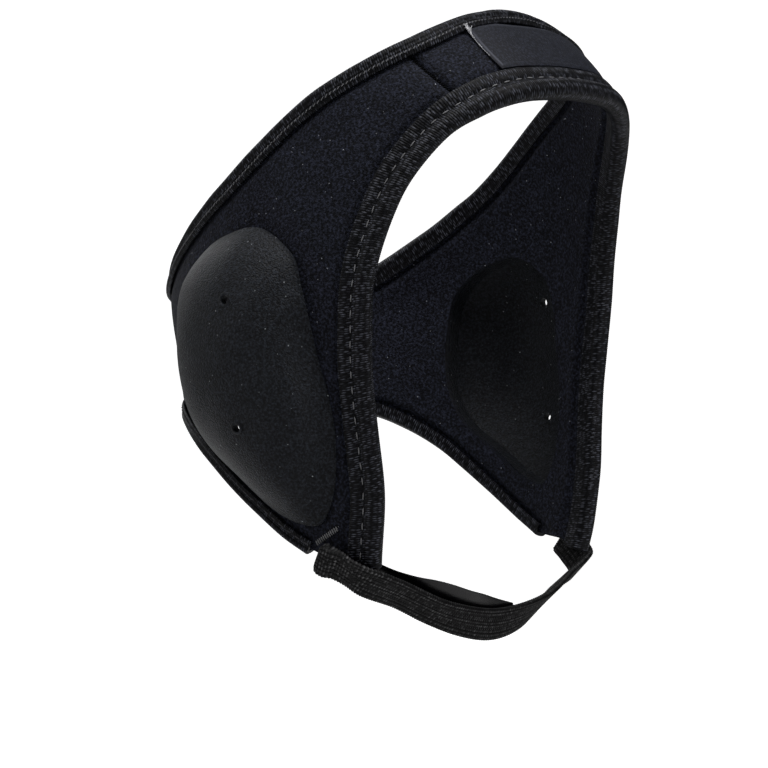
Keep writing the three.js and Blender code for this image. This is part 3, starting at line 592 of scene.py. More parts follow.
def labelMaterial():
    # Satin weave with a plain woven line inside the edge, held in the mesh's own attribute
    material, tree, shader = newMaterial("labelSatin")
    pitch = labelLook["threadPitch"]
    threads = placeGroup(tree, threadRibs, {"Pitch": pitch, "Across": 2.5 * pitch, "Disorder": 0.8}, "UV")
    line = addNode(tree, "ShaderNodeAttribute", attribute_name="wovenLine")
    # Painted highlight: the thread glints lighten the satin ground towards the shine colour
    ground = mixColours(tree, threads.outputs["Painted Glint"], labelLook["ground"], labelLook["shine"])
    colour = mixColours(tree, line.outputs["Fac"], ground, labelLook["line"])
    finishShader(tree, shader, colour, threads.outputs["Height"], labelLook, 0.6)
    return material


materials = {"labelSatin": labelMaterial()}
for looks, build in ((knitLooks, knitMaterial), (threadLooks, threadMaterial), (plainThreads, plainThread)):
    materials.update({name: build(name) for name in looks})
print("materials made:", len(materials))


def finishPiece(piece, material, nodes=()):
    piece.data.materials.clear()
    piece.data.materials.append(materials[material])
    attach(piece, "root")
    if nodes:
        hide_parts(*nodes)
    return piece


# Soft panels
pad = {
    "crossLines": 44, "pressedLines": 5, "crossBunch": 0.45, "rowsPerUnit": 9, "rowBunch": 0.25,
    "edgeRound": 1.1, "edgeDip": 0.9, "uneven": 0.32, "unevenSize": 34, "openFrom": 2, "openReach": 12,
    "pucker": 0.22, "puckerPitch": 5.6, "puckerReach": 3.2, "puckerDip": 0.6, "cupPress": 0.5,
    "cupReach": 3.5,
}
faceTape = {
    "width": 12, "inside": 9, "rollWidth": 6.5, "rollRise": 1.1, "browRise": 1.4,
    "groove": 0.8, "grooveHalf": 0.75, "pitch": 0.8, "rib": 0.11,
}
crownTape = {
    "width": 8, "inside": 7, "rollWidth": 4.4, "rollRise": 0.5, "groove": 0.6, "grooveHalf": 0.55,
    "ridge": 0.55, "pitch": 0.8, "rib": 0.1,
}
neckTape = {
    "width": 5.5, "inside": 5, "rollWidth": 3, "rollRise": 0.5, "groove": 0.35, "grooveHalf": 0.4,
    "pitch": 0.8, "rib": 0.08,
}

cup = {
    "crest": (97, -0.16), "rise": 19, "edgeRise": 1.6, "wall": 3, "seat": 0.45, "fullness": 2.1,
    "shoulder": 0.85, "softShoulder": 1.5, "earHole": 0.84, "vents": [(91.8, 0.09), (90, -0.39)],
    "ventRadius": 1.5, "lipOut": 0.35, "lipRadius": 0.5, "lipRise": 0.3, "uneven": 0.22, "unevenSize": 26,
    "mergeFrom": 10, "mergeTo": 16.6, "mergeThin": 0.85, "mergeSink": 0.35, "innerShare": 0.25,
    "rimFrom": 0.985,
}
crestTurn, crestHeight = cup["crest"][0], float(heightOf(cup["crest"][1]))
cupUnder = band["wall"] + cup["seat"]
cupOutline = np.array([
    (92, 0.31), (103, 0.288), (110.5, 0.237), (116.5, 0.149), (119, 0.017), (119.5, -0.18), (117.5, -0.36),
    (112, -0.51), (101.5, -0.635), (91, -0.755), (82, -0.81), (75, -0.806), (70.5, -0.667), (68.7, -0.462),
    (69.5, -0.298), (72.3, -0.113), (74.3, 0.039), (76.2, 0.129), (80.2, 0.228),
])


def loopColumn(values, place):
    count = len(values)
    k = np.floor(place).astype(int)
    at = [values[(k + step) % count] for step in (-1, 0, 1, 2)]
    return cubic(place - k, at[1], at[2], (at[2] - at[0]) / 2, (at[3] - at[1]) / 2)


def cupPlace(place, share):
    turn = crestTurn + (loopColumn(cupOutline[:, 0], place) - crestTurn) * share
    height = crestHeight + (loopColumn(heightOf(cupOutline[:, 1]), place) - crestHeight) * share
    return turn, height


cupTrack = headPoint(*cupPlace(np.linspace(0, len(cupOutline), 240), 1.0))


def shareFrom(row, distance, tracks, fromCrown):
    near, far = np.zeros_like(row), np.full_like(row, 0.5)
    for _ in range(16):
        middle = (near + far) / 2
        place = acrossBand(row, middle if fromCrown else 1 - middle)
        inside = distanceTo(tracks, headPoint(*place)) < distance
        near, far = np.where(inside, middle, near), np.where(inside, far, middle)
    return near if fromCrown else 1 - near


def crossShares(rows):
    # Cross lines crowd together where the tapes press the edges down
    crownReach = (padInset, crownTape["width"] + band["gap"])
    crownSide = [shareFrom(rows, reach, [crownTrack], True) for reach in crownReach]
    place = np.abs(rows)
    outerSide = []
    beyondTapes = (faceTape["width"] + band["gap"], neckTape["width"] + band["gap"])
    for faceReach, neckReach in ((padInset, padInset), beyondTapes):
        face = shareFrom(rows, faceReach, [faceTrack, *tipTracks], False)
        neck = shareFrom(rows, neckReach, [*neckTracks, *tipTracks], False)
        tip = np.minimum(face, neck)
        outerSide.append(np.where(place < tipFrontRow, face, np.where(place > tipBackRow, neck, tip)))
    inner = np.linspace(0, 1, pad["pressedLines"], endpoint=False)[None]
    middle = bunched(np.linspace(0, 1, pad["crossLines"], endpoint=False)[None], pad["crossBunch"])
    outer = np.linspace(0, 1, pad["pressedLines"])[None]
    a, b, c, d = (v[:, None] for v in (crownSide[0], crownSide[1], outerSide[1], outerSide[0]))
    return np.concatenate([a + (b - a) * inner, b + (c - b) * middle, c + (d - c) * outer], 1)


def padPiece(name, startRow, endRow):
    count = int(round((endRow - startRow) * pad["rowsPerUnit"]))
    rows = startRow + (endRow - startRow) * bunched(np.linspace(0, 1, count + 1), pad["rowBunch"])
    shares = crossShares(rows)
    turn, height = acrossBand(rows[:, None], shares)
    base = headPoint(turn, height)
    tapes = (([crownTrack], crownTape), ([faceTrack], faceTape), (neckTracks, neckTape))
    reach = [distanceTo(tracks, base) - tape["width"] - band["gap"] for tracks, tape in tapes]
    nearest = np.minimum.reduce(reach)
    free = ease(nearest / band["tapeShoulder"])
    seamGap = distanceTo(seamTracks, base)
    seamFree = ease(seamGap / band["seamShoulder"])
    tipFree = ease(distanceTo(tipTracks, base) / faceTape["width"])
    over = np.minimum(
        pressedOver + (band["wall"] - pressedOver) * np.minimum(free, tipFree),
        band["seamWall"] + (band["wall"] - band["seamWall"]) * seamFree,
    )
    endGap = np.minimum(seamGap, np.linalg.norm(base - base[-1:], axis=-1))
    over = over - pad["edgeDip"] * (1 - np.clip(endGap / pad["edgeRound"], 0, 1)) ** 2
    open_ = ease((nearest - pad["openFrom"]) / pad["openReach"]) * seamFree
    along = travelled(base[:, 4])[:, None]
    pull = np.exp(-np.clip(nearest, 0, None) / pad["puckerReach"]) * free
    waves = np.cos(2 * math.pi * along / pad["puckerPitch"]) - pad["puckerDip"]
    over = over + pad["pucker"] * pull * waves
    over = over + pad["uneven"] * open_ * softNoise(base, pad["unevenSize"], 11)
    cupGap = distanceTo([cupTrack], base)
    over = over - pad["cupPress"] * np.exp(-(cupGap / pad["cupReach"]) ** 2) * open_
    under = pressedUnder * (1 - free)
    top, bottom = skinPoint(turn, height, over), skinPoint(turn, height, under)
    loop = np.concatenate([top, bottom[:, ::-1]], 1)
    return gridPiece(name, loop, closeColumns=True, caps="zip", sharp=60)


def plugPiece(places, low, high):
    rings = np.stack([skinPoint(*places, depth) for depth in (low, high)])
    return gridPiece("plug", rings, closeColumns=True, caps="flat")


def halfGapRows(row, step=0.1):
    lengths = []
    for share in (0.0, 1.0):
        here, before = headPoint(*acrossBand(row, share)), headPoint(*acrossBand(row - step, share))
        lengths.append(np.linalg.norm(here - before) / step)
    return band["gap"] / 2 / min(lengths)


def mirroredPiece(piece, name):
    mesh = piece.data.copy()
    mesh.name = name
    co = np.empty(len(mesh.vertices) * 3, np.float32)
    mesh.vertices.foreach_get("co", co)
    co[0::3] *= -1
    mesh.vertices.foreach_set("co", co)
    mesh.flip_normals()
    mesh.update()
    return addObject(name, mesh)


foreheadEnd = seamRow - halfGapRows(seamRow)
forehead = padPiece("foreheadPad", -foreheadEnd, foreheadEnd)
finishPiece(forehead, "neopreneKnit", ["forehead_panel"])

sidePad = padPiece("sidePadRight", seamRow + halfGapRows(seamRow), napeRow - halfGapRows(napeRow))
holePlaces = cupPlace(np.linspace(0, len(cupOutline), 120, endpoint=False), cup["earHole"])
cutBy(sidePad, [plugPiece(holePlaces, -14, 14)])
otherPad = mirroredPiece(sidePad, "sidePadLeft")
finishPiece(sidePad, "neopreneKnit", ["side_panel_right"])
finishPiece(otherPad, "neopreneKnit", ["side_panel_left"])
print("panels made")


# Ear cups
def cupRise(share):
    height = cup["rise"] - cup["edgeRise"]
    return cup["edgeRise"] + height * (1 - share ** cup["fullness"]) ** cup["shoulder"]


def cupMerge(around):
    # Where the cup's edge fades into the panel, low down at the front
    return ease((around - cup["mergeFrom"]) / 2) * ease((cup["mergeTo"] - around) / 1.6)


def cupPiece():
    around = np.linspace(0, len(cupOutline), 150, endpoint=False)[:, None]
    rings = np.concatenate([[0], np.linspace(0.05, 0.9, 26), np.linspace(0.915, cup["rimFrom"], 7)])
    merge = cupMerge(around)
    edge = cup["edgeRise"] * (1 - cup["mergeThin"] * merge)
    inner = ease((1 - rings[None]) / cup["innerShare"])
    shoulder = cup["shoulder"] + (cup["softShoulder"] - cup["shoulder"]) * merge * (1 - inner)
    rise = edge + (cup["rise"] - edge) * (1 - rings[None] ** cup["fullness"]) ** shoulder
    turn, height = cupPlace(around, rings[None])
    base = headPoint(turn, height)
    rise = rise + cup["uneven"] * inner * softNoise(base, cup["unevenSize"], 5)
    rise = rise - cup["mergeSink"] * merge * (1 - inner)
    crown = skinPoint(turn, height, cupUnder + rise)
    # The rim rolls over and tucks in to the panel
    roll = np.radians(np.linspace(20, 90, 5))[None]
    rimShare = cup["rimFrom"] + (1 - cup["rimFrom"]) * np.sin(roll)
    rimTurn, rimHeight = cupPlace(around, rimShare)
    rimRise = rise[:, -1:] * np.cos(roll) + 0.0 * roll
    rim = skinPoint(rimTurn, rimHeight, cupUnder + rimRise)
    # Underneath: flat on the panel, then hollow over the ear
    under = np.concatenate([[0.99, cup["earHole"] + 0.01, cup["earHole"]], np.linspace(0.8, 0.05, 18), [0]])
    underTurn, underHeight = cupPlace(around, under[None])
    over = cupRise(under)
    depth = np.where(under > cup["earHole"] - 0.005, 0, np.maximum(0, over - cup["wall"]))
    inside = skinPoint(underTurn, underHeight, cupUnder + 0.02 + depth[None] + 0 * underTurn)
    grid = np.concatenate([crown, rim, inside], 1)
    piece = gridPiece("earCupRight", grid, closeRows=True, sharp=70)
    angle = np.linspace(0, 2 * math.pi, 28, endpoint=False)
    rings = [ventRing(vent, angle, cup["ventRadius"]) for vent in cup["vents"]]
    return cutBy(piece, [plugPiece(ring, cupUnder + 1, cupUnder + cup["rise"] + 8) for ring in rings])


def ventRing(vent, angle, radius):
    centre = (float(vent[0]), float(heightOf(vent[1])))
    perTurn, _ = slopesAt(*centre)
    turn = centre[0] + radius * np.sin(angle) / np.linalg.norm(perTurn)
    return turn, centre[1] + radius * np.cos(angle)


def ventRims(mirror=1):
    # A soft lip of cloth pressed round each vent
    lips = []
    angle = np.linspace(0, 2 * math.pi, 40, endpoint=False)[:, None]
    bead = np.linspace(0, 2 * math.pi, 10, endpoint=False)[None]
    radius = cup["ventRadius"] + cup["lipOut"] + cup["lipRadius"] * np.cos(bead)
    lift = cup["lipRise"] * np.sin(bead) + 0.06 * np.sin(3 * angle) + 0.05
    for vent in cup["vents"]:
        turn, height = ventRing(vent, angle, radius)
        grid = skinPoint(turn, height, cupUnder + cupRise(shareOnCup(turn, height)) + lift)
        lips.append(gridPiece("lip", grid * (mirror, 1, 1), closeRows=True, closeColumns=True))
    return lips


def shareOnCup(turn, height):
    # How far out on the cup a place lies, from the crest at 0 to the outline at 1
    place = np.linspace(0, len(cupOutline), 400, endpoint=False)
    outTurn, outHeight = cupPlace(place, 1.0)
    bearing = np.arctan2(outHeight - crestHeight, outTurn - crestTurn)
    length = np.hypot(outHeight - crestHeight, outTurn - crestTurn)
    order = np.argsort(bearing)
    mine = np.arctan2(height - crestHeight, turn - crestTurn)
    limit = np.interp(mine, bearing[order], length[order], period=2 * math.pi)
    return np.hypot(height - crestHeight, turn - crestTurn) / limit


def joined(pieces, name):
    with bpy.context.temp_override(
        active_object=pieces[0], selected_objects=pieces, selected_editable_objects=pieces
    ):
        bpy.ops.object.join()
    pieces[0].name = pieces[0].data.name = name
    return pieces[0]


rightCup = cupPiece()
leftCup = mirroredPiece(rightCup, "earCupLeft")
for side, piece, node in ((1, rightCup, "ear_cup_right"), (-1, leftCup, "ear_cup_left")):
    finishPiece(piece, "cupKnit", [node])
    lips = joined(ventRims(side), "ventLips" + ("Right" if side > 0 else "Left"))
    finishPiece(lips, "cupKnit")
print("cups made")


# Ribbed tapes
def headingAt(edge, rows, inward, limits=None):
    # The direction over the skin square to an edge, towards the cloth
    step = 0.02
    after, before = rows + step, rows - step
    if limits is not None:
        before, after = np.maximum(before, limits[0]), np.minimum(after, limits[1])
    along = headPoint(*edge(after)) - headPoint(*edge(before))
    return unit(np.cross(outwardAt(*edge(rows)), along)) * inward


def squared(value, power=2 / 2.5):
    # From -1 to 1 on a circle to 0 to 1 on a squarer round
    return 0.5 + 0.5 * abs(value) ** power * (1 if value > 0 else -1)


def tapeOutline(tape, rise):
    # The tape's section: distance in from the edge, depth, and how much the ribs show there
    fold = np.radians(np.linspace(-80, 80, 5))
    mid, half = (tapeOver + tapeUnder) / 2, band["tapeWall"] / 2
    points = [(tape["width"] - half + half * math.cos(a), mid + half * math.sin(a), 0.6) for a in fold]
    grooveAt = tape["rollWidth"] + tape["grooveHalf"]
    for across in np.linspace(tape["width"] - 1.1, tape["rollWidth"] + 0.05, 11):
        dip = tape["groove"] * math.exp(-((across - grooveAt) / tape["grooveHalf"]) ** 2 * 1.6)
        fromRidge = (across - tape["width"] + band["ridgeInset"]) / band["ridgeHalf"]
        swell = tape.get("ridge", 0) * math.exp(-fromRidge ** 2)
        points.append((across, tapeOver + band["tapeLie"] + swell - dip, 1 - 0.5 * dip))
    for angle in np.radians(np.linspace(48, 262, 15)):
        across, depth = squared(math.cos(angle)), squared(math.sin(angle))
        points.append((tape["rollWidth"] * across, (tapeOver + rise) * depth, 1))
    inside = tape["inside"]
    for across in np.linspace(tape["rollWidth"] * 0.6, inside, 4):
        points.append((across, 0.02, 0.5))
    bandEdge = band["tapeWall"] + band["gap"]
    points += [(inside, band["tapeWall"], 0), (bandEdge, band["tapeWall"], 0), (bandEdge, tapeUnder, 0)]
    return np.array(points)


def tapePiece(name, tape, edge, start, end, inward, closed, riseAt, seed):
    rows, lengths = evenly(lambda row: headPoint(*edge(row)), start, end, tape["pitch"] / 3)
    turn, height = edge(rows)
    heading = headingAt(edge, rows, inward, None if closed else (start, end))
    rises = tape["rollRise"] + (riseAt(rows) if riseAt is not None else 0 * rows)
    low, high = tapeOutline(tape, 0.0), tapeOutline(tape, 1.0)
    section = low[None] + (high - low)[None] * rises[:, None, None]
    across, depth, showing = section[..., 0], section[..., 1], section[..., 2]
    tangent = unit(np.roll(section[..., :2], -1, 1) - np.roll(section[..., :2], 1, 1))
    rng = np.random.default_rng(seed)
    ribCount = int(lengths[-1] / tape["pitch"]) + 2
    vary = 0.8 + 0.4 * rng.random(ribCount)[(lengths / tape["pitch"]).astype(int)]
    ribs = 0.5 - 0.5 * np.cos(2 * math.pi * (lengths[:, None] + 0.12 * across) / tape["pitch"])
    push = tape["rib"] * (ribs - 0.5) * vary[:, None] * showing
    across = across + tangent[..., 1] * push
    depth = depth - tangent[..., 0] * push
    if closed:
        across, depth, turn, height, heading = (v[:-1] for v in (across, depth, turn, height, heading))
    placeTurn, placeHeight = walk(turn[:, None], height[:, None], heading[:, None], across)
    base = headPoint(placeTurn, placeHeight)
    depth = depth + 0.12 * softNoise(base, 22, seed + 20) * (depth / tapeOver)
    grid = base + outwardAt(placeTurn, placeHeight) * depth[..., None]
    return gridPiece(
        name, grid, closeRows=closed, closeColumns=True, caps=None if closed else "flat", lengths=lengths,
        sharp=75,
    )


def browRise(rows):
    return faceTape["browRise"] * (1 - ease(np.abs(rows) / (seamRow + 2)))


def neckEdge(row):
    return outerEdge(np.where(row <= napeRow, row, row - 2 * napeRow))


def loopCrown(row):
    return crownEdge((row + napeRow) % (2 * napeRow) - napeRow)


neckStart = tipBackRow + 0.17
tapeRows = {
    "faceBinding": ("face_binding", faceTape, outerEdge, -tipFrontRow, tipFrontRow, -1, False, browRise),
    "crownBinding": ("crown_binding", crownTape, loopCrown, -napeRow, napeRow, 1, True, None),
    "neckBinding": (
        "neck_binding", neckTape, neckEdge, neckStart, 2 * napeRow - neckStart, -1, False, None
    ),
}
for seed, (name, (node, *shape)) in enumerate(tapeRows.items(), 3):
    finishPiece(tapePiece(name, *shape, seed), "tapeThreads", [node])
print("tapes made")

# Chin strap: seats are turn, height and lean, free points are side, forward, height and lean
strap = {
    "width": 13, "wall": 2, "endWall": 4, "endShare": 0.04, "endRadius": 3.4,
    "pitch": 1.2, "rib": 0.44, "ribDip": -0.4, "edgeRib": 0.22, "cord": 1.24, "cordRise": 0.14,
    "seats": [(75.8, -0.922, 71), (69.8, -0.962, 60)],
    "route": [
        (0.845, 0.462, -1.043, 48), (0.62, 0.505, -1.113, 38), (0.42, 0.54, -1.188, 42),
        (0.21, 0.563, -1.243, 58), (0, 0.562, -1.267, 68),
    ],
}
# Tab rows: share of the strap's way, rise over the strap's upper edge, distance behind the strap
tab = {
    "wall": 1.4, "lap": 1, "sink": 0.2, "ripple": 0.15, "ripples": 18, "foldAt": 0.5, "foldHalf": 0.08,
    "foldRise": 0.8, "foldStart": 0.4, "foldEnd": 0.97, "flat": (0.0925, 0.0164), "area": 0.00123, "rows": [
        (0.03, -4, 10.5), (0.09, -4, 11), (0.14, -4.5, 11.6), (0.18, -4.5, 11.2), (0.22, -3.6, 8.4),
        (0.265, 0.4, 3.8), (0.31, 4.2, 1.2), (0.36, 5.3, 0.7), (0.41, 5, 0.7), (0.46, 4.5, 0.7),
        (0.51, 2.7, 0.7), (0.56, -0.5, 0.7),
    ],
}
strapOver = tapeOver + faceTape["rollRise"] + band["gap"]


def strapRoute():
    seats = [skinPoint(float(t), float(heightOf(h)), strapOver) for t, h, _ in strap["seats"]]
    free = [
        np.array([-s * head["halfWidth"], -f * head["halfLength"], h * head["cheekDrop"]])
        for s, f, h, _ in strap["route"]
    ]
    near = np.array(seats + free)
    far = near[:-1][::-1] * (-1, 1, 1)
    leans = np.array([row[-1] for row in strap["seats"] + strap["route"]], float)
    return np.concatenate([near, far]), np.concatenate([leans, leans[:-1][::-1]])


routePoints, routeLeans = strapRoute()
leanAt = smoothColumn(np.arange(len(routeLeans), dtype=float), routeLeans)


def alongRoute(shares):
    return throughPoints(routePoints, shares)


def throughPoints(points, shares):
    # Centripetal curve through the points
    padded = np.concatenate([[2 * points[0] - points[1]], points, [2 * points[-1] - points[-2]]])
    place = shares * (len(points) - 1)
    k = np.clip(np.floor(place).astype(int), 0, len(points) - 2)
    f = (place - k)[:, None]
    p = [padded[k + step] for step in range(4)]
    d = [np.sqrt(np.linalg.norm(p[n + 1] - p[n], axis=-1))[:, None] for n in range(3)]
    slopeIn = ((p[1] - p[0]) / d[0] - (p[2] - p[0]) / (d[0] + d[1]) + (p[2] - p[1]) / d[1]) * d[1]
    slopeOut = ((p[2] - p[1]) / d[1] - (p[3] - p[1]) / (d[1] + d[2]) + (p[3] - p[2]) / d[2]) * d[1]
    return cubic(f, p[1], p[2], slopeIn, slopeOut)


def strapFrames(shares):
    place = alongRoute(shares)
    step = 0.0005
    ahead, behind = np.clip(shares + step, 0, 1), np.clip(shares - step, 0, 1)
    along = unit(alongRoute(ahead) - alongRoute(behind))
    up = unit(np.array([0, 0, 1.0]) - along * along[:, 2:])
    front = np.cross(along, up)
    lean = np.radians(leanAt(shares * (len(routeLeans) - 1)))[:, None]
    across = up * np.sin(lean) + front * np.cos(lean)
    return place, across, unit(np.cross(along, across))


def flatLoop(halfWidth, wall, across):
    # Sideways and level places round a flat section with round edges, outside face first
    half, bulge = wall / 2, 0.8
    corner = [(bulge * half * math.cos(a), half * math.sin(a)) for a in np.radians(np.linspace(75, -75, 5))]
    side = halfWidth - half * bulge
    right = [(side + out, half + rise) for out, rise in corner]
    left = [(-side - out, half - rise) for out, rise in corner]
    outer, inner = np.linspace(-side, side, across), np.linspace(side, -side, across // 2)
    return np.array([(s, wall) for s in outer] + right + [(s, 0) for s in inner] + left)


def strapPiece():
    shares, lengths = evenly(alongRoute, 0, 1, strap["pitch"] / 4, samples=1200)
    place, across, face = strapFrames(shares)
    loop = flatLoop(strap["width"] / 2, 1.0, 42)
    fromEnd = np.minimum(shares, 1 - shares) / strap["endShare"]
    wall = strap["endWall"] + (strap["wall"] - strap["endWall"]) * ease(fromEnd - 1)
    endLength = np.minimum(lengths, lengths[-1] - lengths)
    round_ = np.sqrt(np.clip(1 - (1 - np.clip(endLength / 2, 0, 1)) ** 2, 0.02, 1))
    radius = strap["endRadius"]
    short = radius - np.sqrt(radius ** 2 - np.clip(radius - endLength, 0, radius) ** 2)
    sideways = loop[None, :, 0] * (1 - short / strap["width"] * 2)[:, None]
    level = (loop[None, :, 1] - 0.5) * (wall * round_)[:, None] + wall[:, None] / 2
    outerFace = (loop[:, 1] > 0.9)[None] * 1.0
    innerFace = (loop[:, 1] < 0.1)[None] * 1.0
    ribs = np.cos(2 * math.pi * lengths / strap["pitch"])[:, None]
    cords = np.cos(2 * math.pi * loop[None, :, 0] / strap["cord"])
    weave = strap["rib"] * 0.5 * ribs * np.where(cords > 0, 1, strap["ribDip"])
    level = level + (weave + strap["cordRise"] * 0.5 * cords) * (outerFace - innerFace)
    edges = 1 - outerFace - innerFace
    sideways = sideways + edges * np.sign(loop[None, :, 0]) * strap["edgeRib"] * ribs
    return sweptPiece("chinStrap", place, across, face, sideways, level, lengths=lengths, sharp=80)


def tabEdge(side):
    shares, rises, behind = np.array(tab["rows"]).T
    place, across, face = strapFrames(shares)
    edge = place + across * side * strap["width"] / 2 - face * (behind + tab["wall"])[:, None]
    if side > 0:
        return edge + rises[:, None] * np.array([0, 0, 1.0])
    return edge + across * tab["lap"]


def tabPiece():
    f = np.linspace(0, 1, 110)
    low, high = throughPoints(tabEdge(-1), f), throughPoints(tabEdge(1), f)
    along = unit(np.gradient(low + high, axis=0))
    width = np.linalg.norm(high - low, axis=-1)
    across = (high - low) / width[:, None]
    face = unit(np.cross(along, across))
    loop = flatLoop(0.5, 1.0, 28)
    loop[:, 0] = loop[:, 0] / np.abs(loop[:, 0]).max()
    sideways = loop[None, :, 0] * width[:, None] / 2
    fold = np.exp(-((loop[None, :, 0] - tab["foldAt"]) / tab["foldHalf"]) ** 2)
    fold = fold * ease((f - tab["foldStart"]) / 0.15)[:, None]
    ripple = tab["ripple"] * np.sin(f * tab["ripples"])[:, None] * loop[None, :, 0]
    rise = tab["foldRise"] * fold * ease((tab["foldEnd"] - f) / 0.1)[:, None]
    level = loop[None, :, 1] * tab["wall"] + rise + ripple - tab["sink"]
    return sweptPiece("chinTab", (low + high) / 2, across, face, sideways, level, sharp=70)


chinStrap = strapPiece()
finishPiece(chinStrap, "webbingThreads", ["chin_strap"])
chinTab = tabPiece()
finishPiece(chinTab, "tabCloth", ["chin_tab"])
print("strap made:", len(chinStrap.data.polygons))

# Forehead label
label = {
    "top": (42, 0.945), "bottom": (27.5, 0.79), "wall": 0.9, "columns": 90, "rows": 26, "lineInset": 1.3,
    "lineHalf": 0.45, "lineRise": 0.05, "flat": (0.064, 0.0245), "area": 0.00148,
}


def labelPlace(side, share):
    (topTurn, topHeight), (lowTurn, lowHeight) = label["top"], label["bottom"]
    turn = side * (topTurn + (lowTurn - topTurn) * share)
    return turn, heightOf(topHeight + (lowHeight - topHeight) * share)


def labelPiece():
    side = np.linspace(-1, 1, label["columns"] + 1)[:, None]
    share = np.linspace(0, 1, 200)[None]
    points = headPoint(*labelPlace(side, share))
    crownFree = distanceTo([crownTrack], points) >= crownTape["width"] + 2 * band["gap"]
    faceFree = distanceTo([faceTrack], points) >= faceTape["width"] + 2 * band["gap"]
    first = np.array([share[0, np.argmax(free)] for free in crownFree])
    last = np.array([share[0, len(free) - 1 - np.argmax(free[::-1])] for free in faceFree])
    f = np.linspace(0, 1, label["rows"] + 1)[None]
    placed = first[:, None] + (last - first)[:, None] * f
    turn, height = labelPlace(side, placed)
    base = headPoint(turn, height)
    edges = (base[:1], base[-1:], base[:, :1], base[:, -1:])
    edge = np.minimum.reduce([np.linalg.norm(base - part, axis=-1) for part in edges])
    line = ease(1 - np.abs(edge - label["lineInset"]) / label["lineHalf"])
    seat = band["wall"] + band["gap"]
    rise = label["wall"] * (0.75 + 0.25 * ease(edge / 1.2)) + 0.06 * softNoise(base, 15, 8)
    rise = rise + label["lineRise"] * line
    top = skinPoint(turn, height, seat + rise)
    bottom = skinPoint(turn, height, seat + 0 * rise)
    grid = np.concatenate([top, bottom[:, ::-1]], 1)
    piece = gridPiece("labelPatch", grid, closeColumns=True, caps="zip", sharp=60)
    values = np.concatenate([line, 0 * line], 1).ravel()
    attribute = piece.data.attributes.new("wovenLine", "FLOAT", "POINT")
    attribute.data.foreach_set("value", values[:len(piece.data.vertices)].astype(np.float32))
    return piece, (turn, height)


labelPatch, labelPlaces = labelPiece()
finishPiece(labelPatch, "labelSatin", ["label_patch"])
print("label made")


# Stitches, by one Geometry Nodes tree
def buildStitchTree():
    tree = bpy.data.node_groups.new("stitchRun", "GeometryNodeTree")
    addSocket(tree, "Geometry", "Geometry")
    for size, value in (("Pitch", 0.005), ("Length", 0.003), ("Thread", 0.0005), ("Turn", 0.0)):
        addSocket(tree, size, "Float", value)
    addSocket(tree, "Material", "Material")
    addSocket(tree, "Seed", "Int", 1)
    addSocket(tree, "Geometry", "Geometry", way="OUTPUT")
    given, made = tree.nodes.new("NodeGroupInput").outputs, tree.nodes.new("NodeGroupOutput")

    def add(kind, inputs=None, output=0, **settings):
        return addNode(tree, kind, inputs, **settings).outputs[output]

    curve = add("GeometryNodeMeshToCurve", {"Mesh": given["Geometry"]})
    even = add("GeometryNodeResampleCurve", {"Curve": curve, "Length": given["Pitch"]}, mode="LENGTH")
    stitch = add("GeometryNodeMeshUVSphere", {"Segments": 8, "Rings": 6, "Radius": 0.5})
    outward = add(
        "GeometryNodeInputNamedAttribute", {"Name": "outward"}, "Attribute", data_type="FLOAT_VECTOR"
    )
    axes = add(
        "FunctionNodeAxesToRotation",
        {"Primary Axis": outward, "Secondary Axis": add("GeometryNodeInputTangent")},
        primary_axis="Z", secondary_axis="X",
    )
    # The random turn, at most 0.09 radians, is in the node's float sockets, 2 and 3 in and 1 out
    vary = add("FunctionNodeRandomValue", {2: -0.09, 3: 0.09, "Seed": given["Seed"]}, 1, data_type="FLOAT")
    turned = add("ShaderNodeMath", {0: given["Turn"], 1: vary}, operation="ADD")
    spin = add("FunctionNodeEulerToRotation", {0: add("ShaderNodeCombineXYZ", {"Z": turned})})
    both = {"Rotation": axes, "Rotate By": spin}
    rotation = add("FunctionNodeRotateRotation", both, rotation_space="LOCAL")
    size = add("ShaderNodeCombineXYZ", {"X": given["Length"], "Y": given["Thread"], "Z": given["Thread"]})
    placed = add(
        "GeometryNodeInstanceOnPoints",
        {"Points": even, "Instance": stitch, "Rotation": rotation, "Scale": size},
    )
    real = add("GeometryNodeRealizeInstances", {"Geometry": placed})
    smooth = add("GeometryNodeSetShadeSmooth", {"Geometry": real})
    paint = add("GeometryNodeSetMaterial", {"Geometry": smooth, "Material": given["Material"]})
    tree.links.new(paint, made.inputs["Geometry"])
    return tree


stitchTree = buildStitchTree()


def stitchRun(name, paths, sizes, turn, material, seed):
    # paths is a list of (points, outward directions), and sizes pitch, length and thread, in millimetres
    points, outs, edges = [], [], []
    for line, out in paths:
        first = sum(len(p) for p in points)
        points.append(line)
        outs.append(out)
        edges += [(first + k, first + k + 1) for k in range(len(line) - 1)]
    mesh = bpy.data.meshes.new(name)
    mesh.from_pydata((np.concatenate(points) * mm).tolist(), edges, [])
    attribute = mesh.attributes.new("outward", "FLOAT_VECTOR", "POINT")
    attribute.data.foreach_set("vector", np.concatenate(outs).astype(np.float32).ravel())
    piece = addObject(name, mesh)
    modifier = piece.modifiers.new("stitches", "NODES")
    modifier.node_group = stitchTree
    values = {key: size * mm for key, size in zip(("Pitch", "Length", "Thread"), sizes)}
    values.update({"Turn": math.radians(turn), "Material": materials[material], "Seed": seed})
    for item in stitchTree.interface.items_tree:
        if item.in_out == "INPUT" and item.name in values:
            modifier[item.identifier] = values[item.name]
    return settled(piece)


def edgePath(edge, start, end, inward, across, depth, count=400):
    rows, _ = evenly(lambda row: headPoint(*edge(row)), start, end, count=count)
    heading = headingAt(edge, rows, inward, (start, end))
    placed = walk(*edge(rows), heading, np.full(rows.shape, float(across)))
    return skinPoint(*placed, depth), outwardAt(*placed)


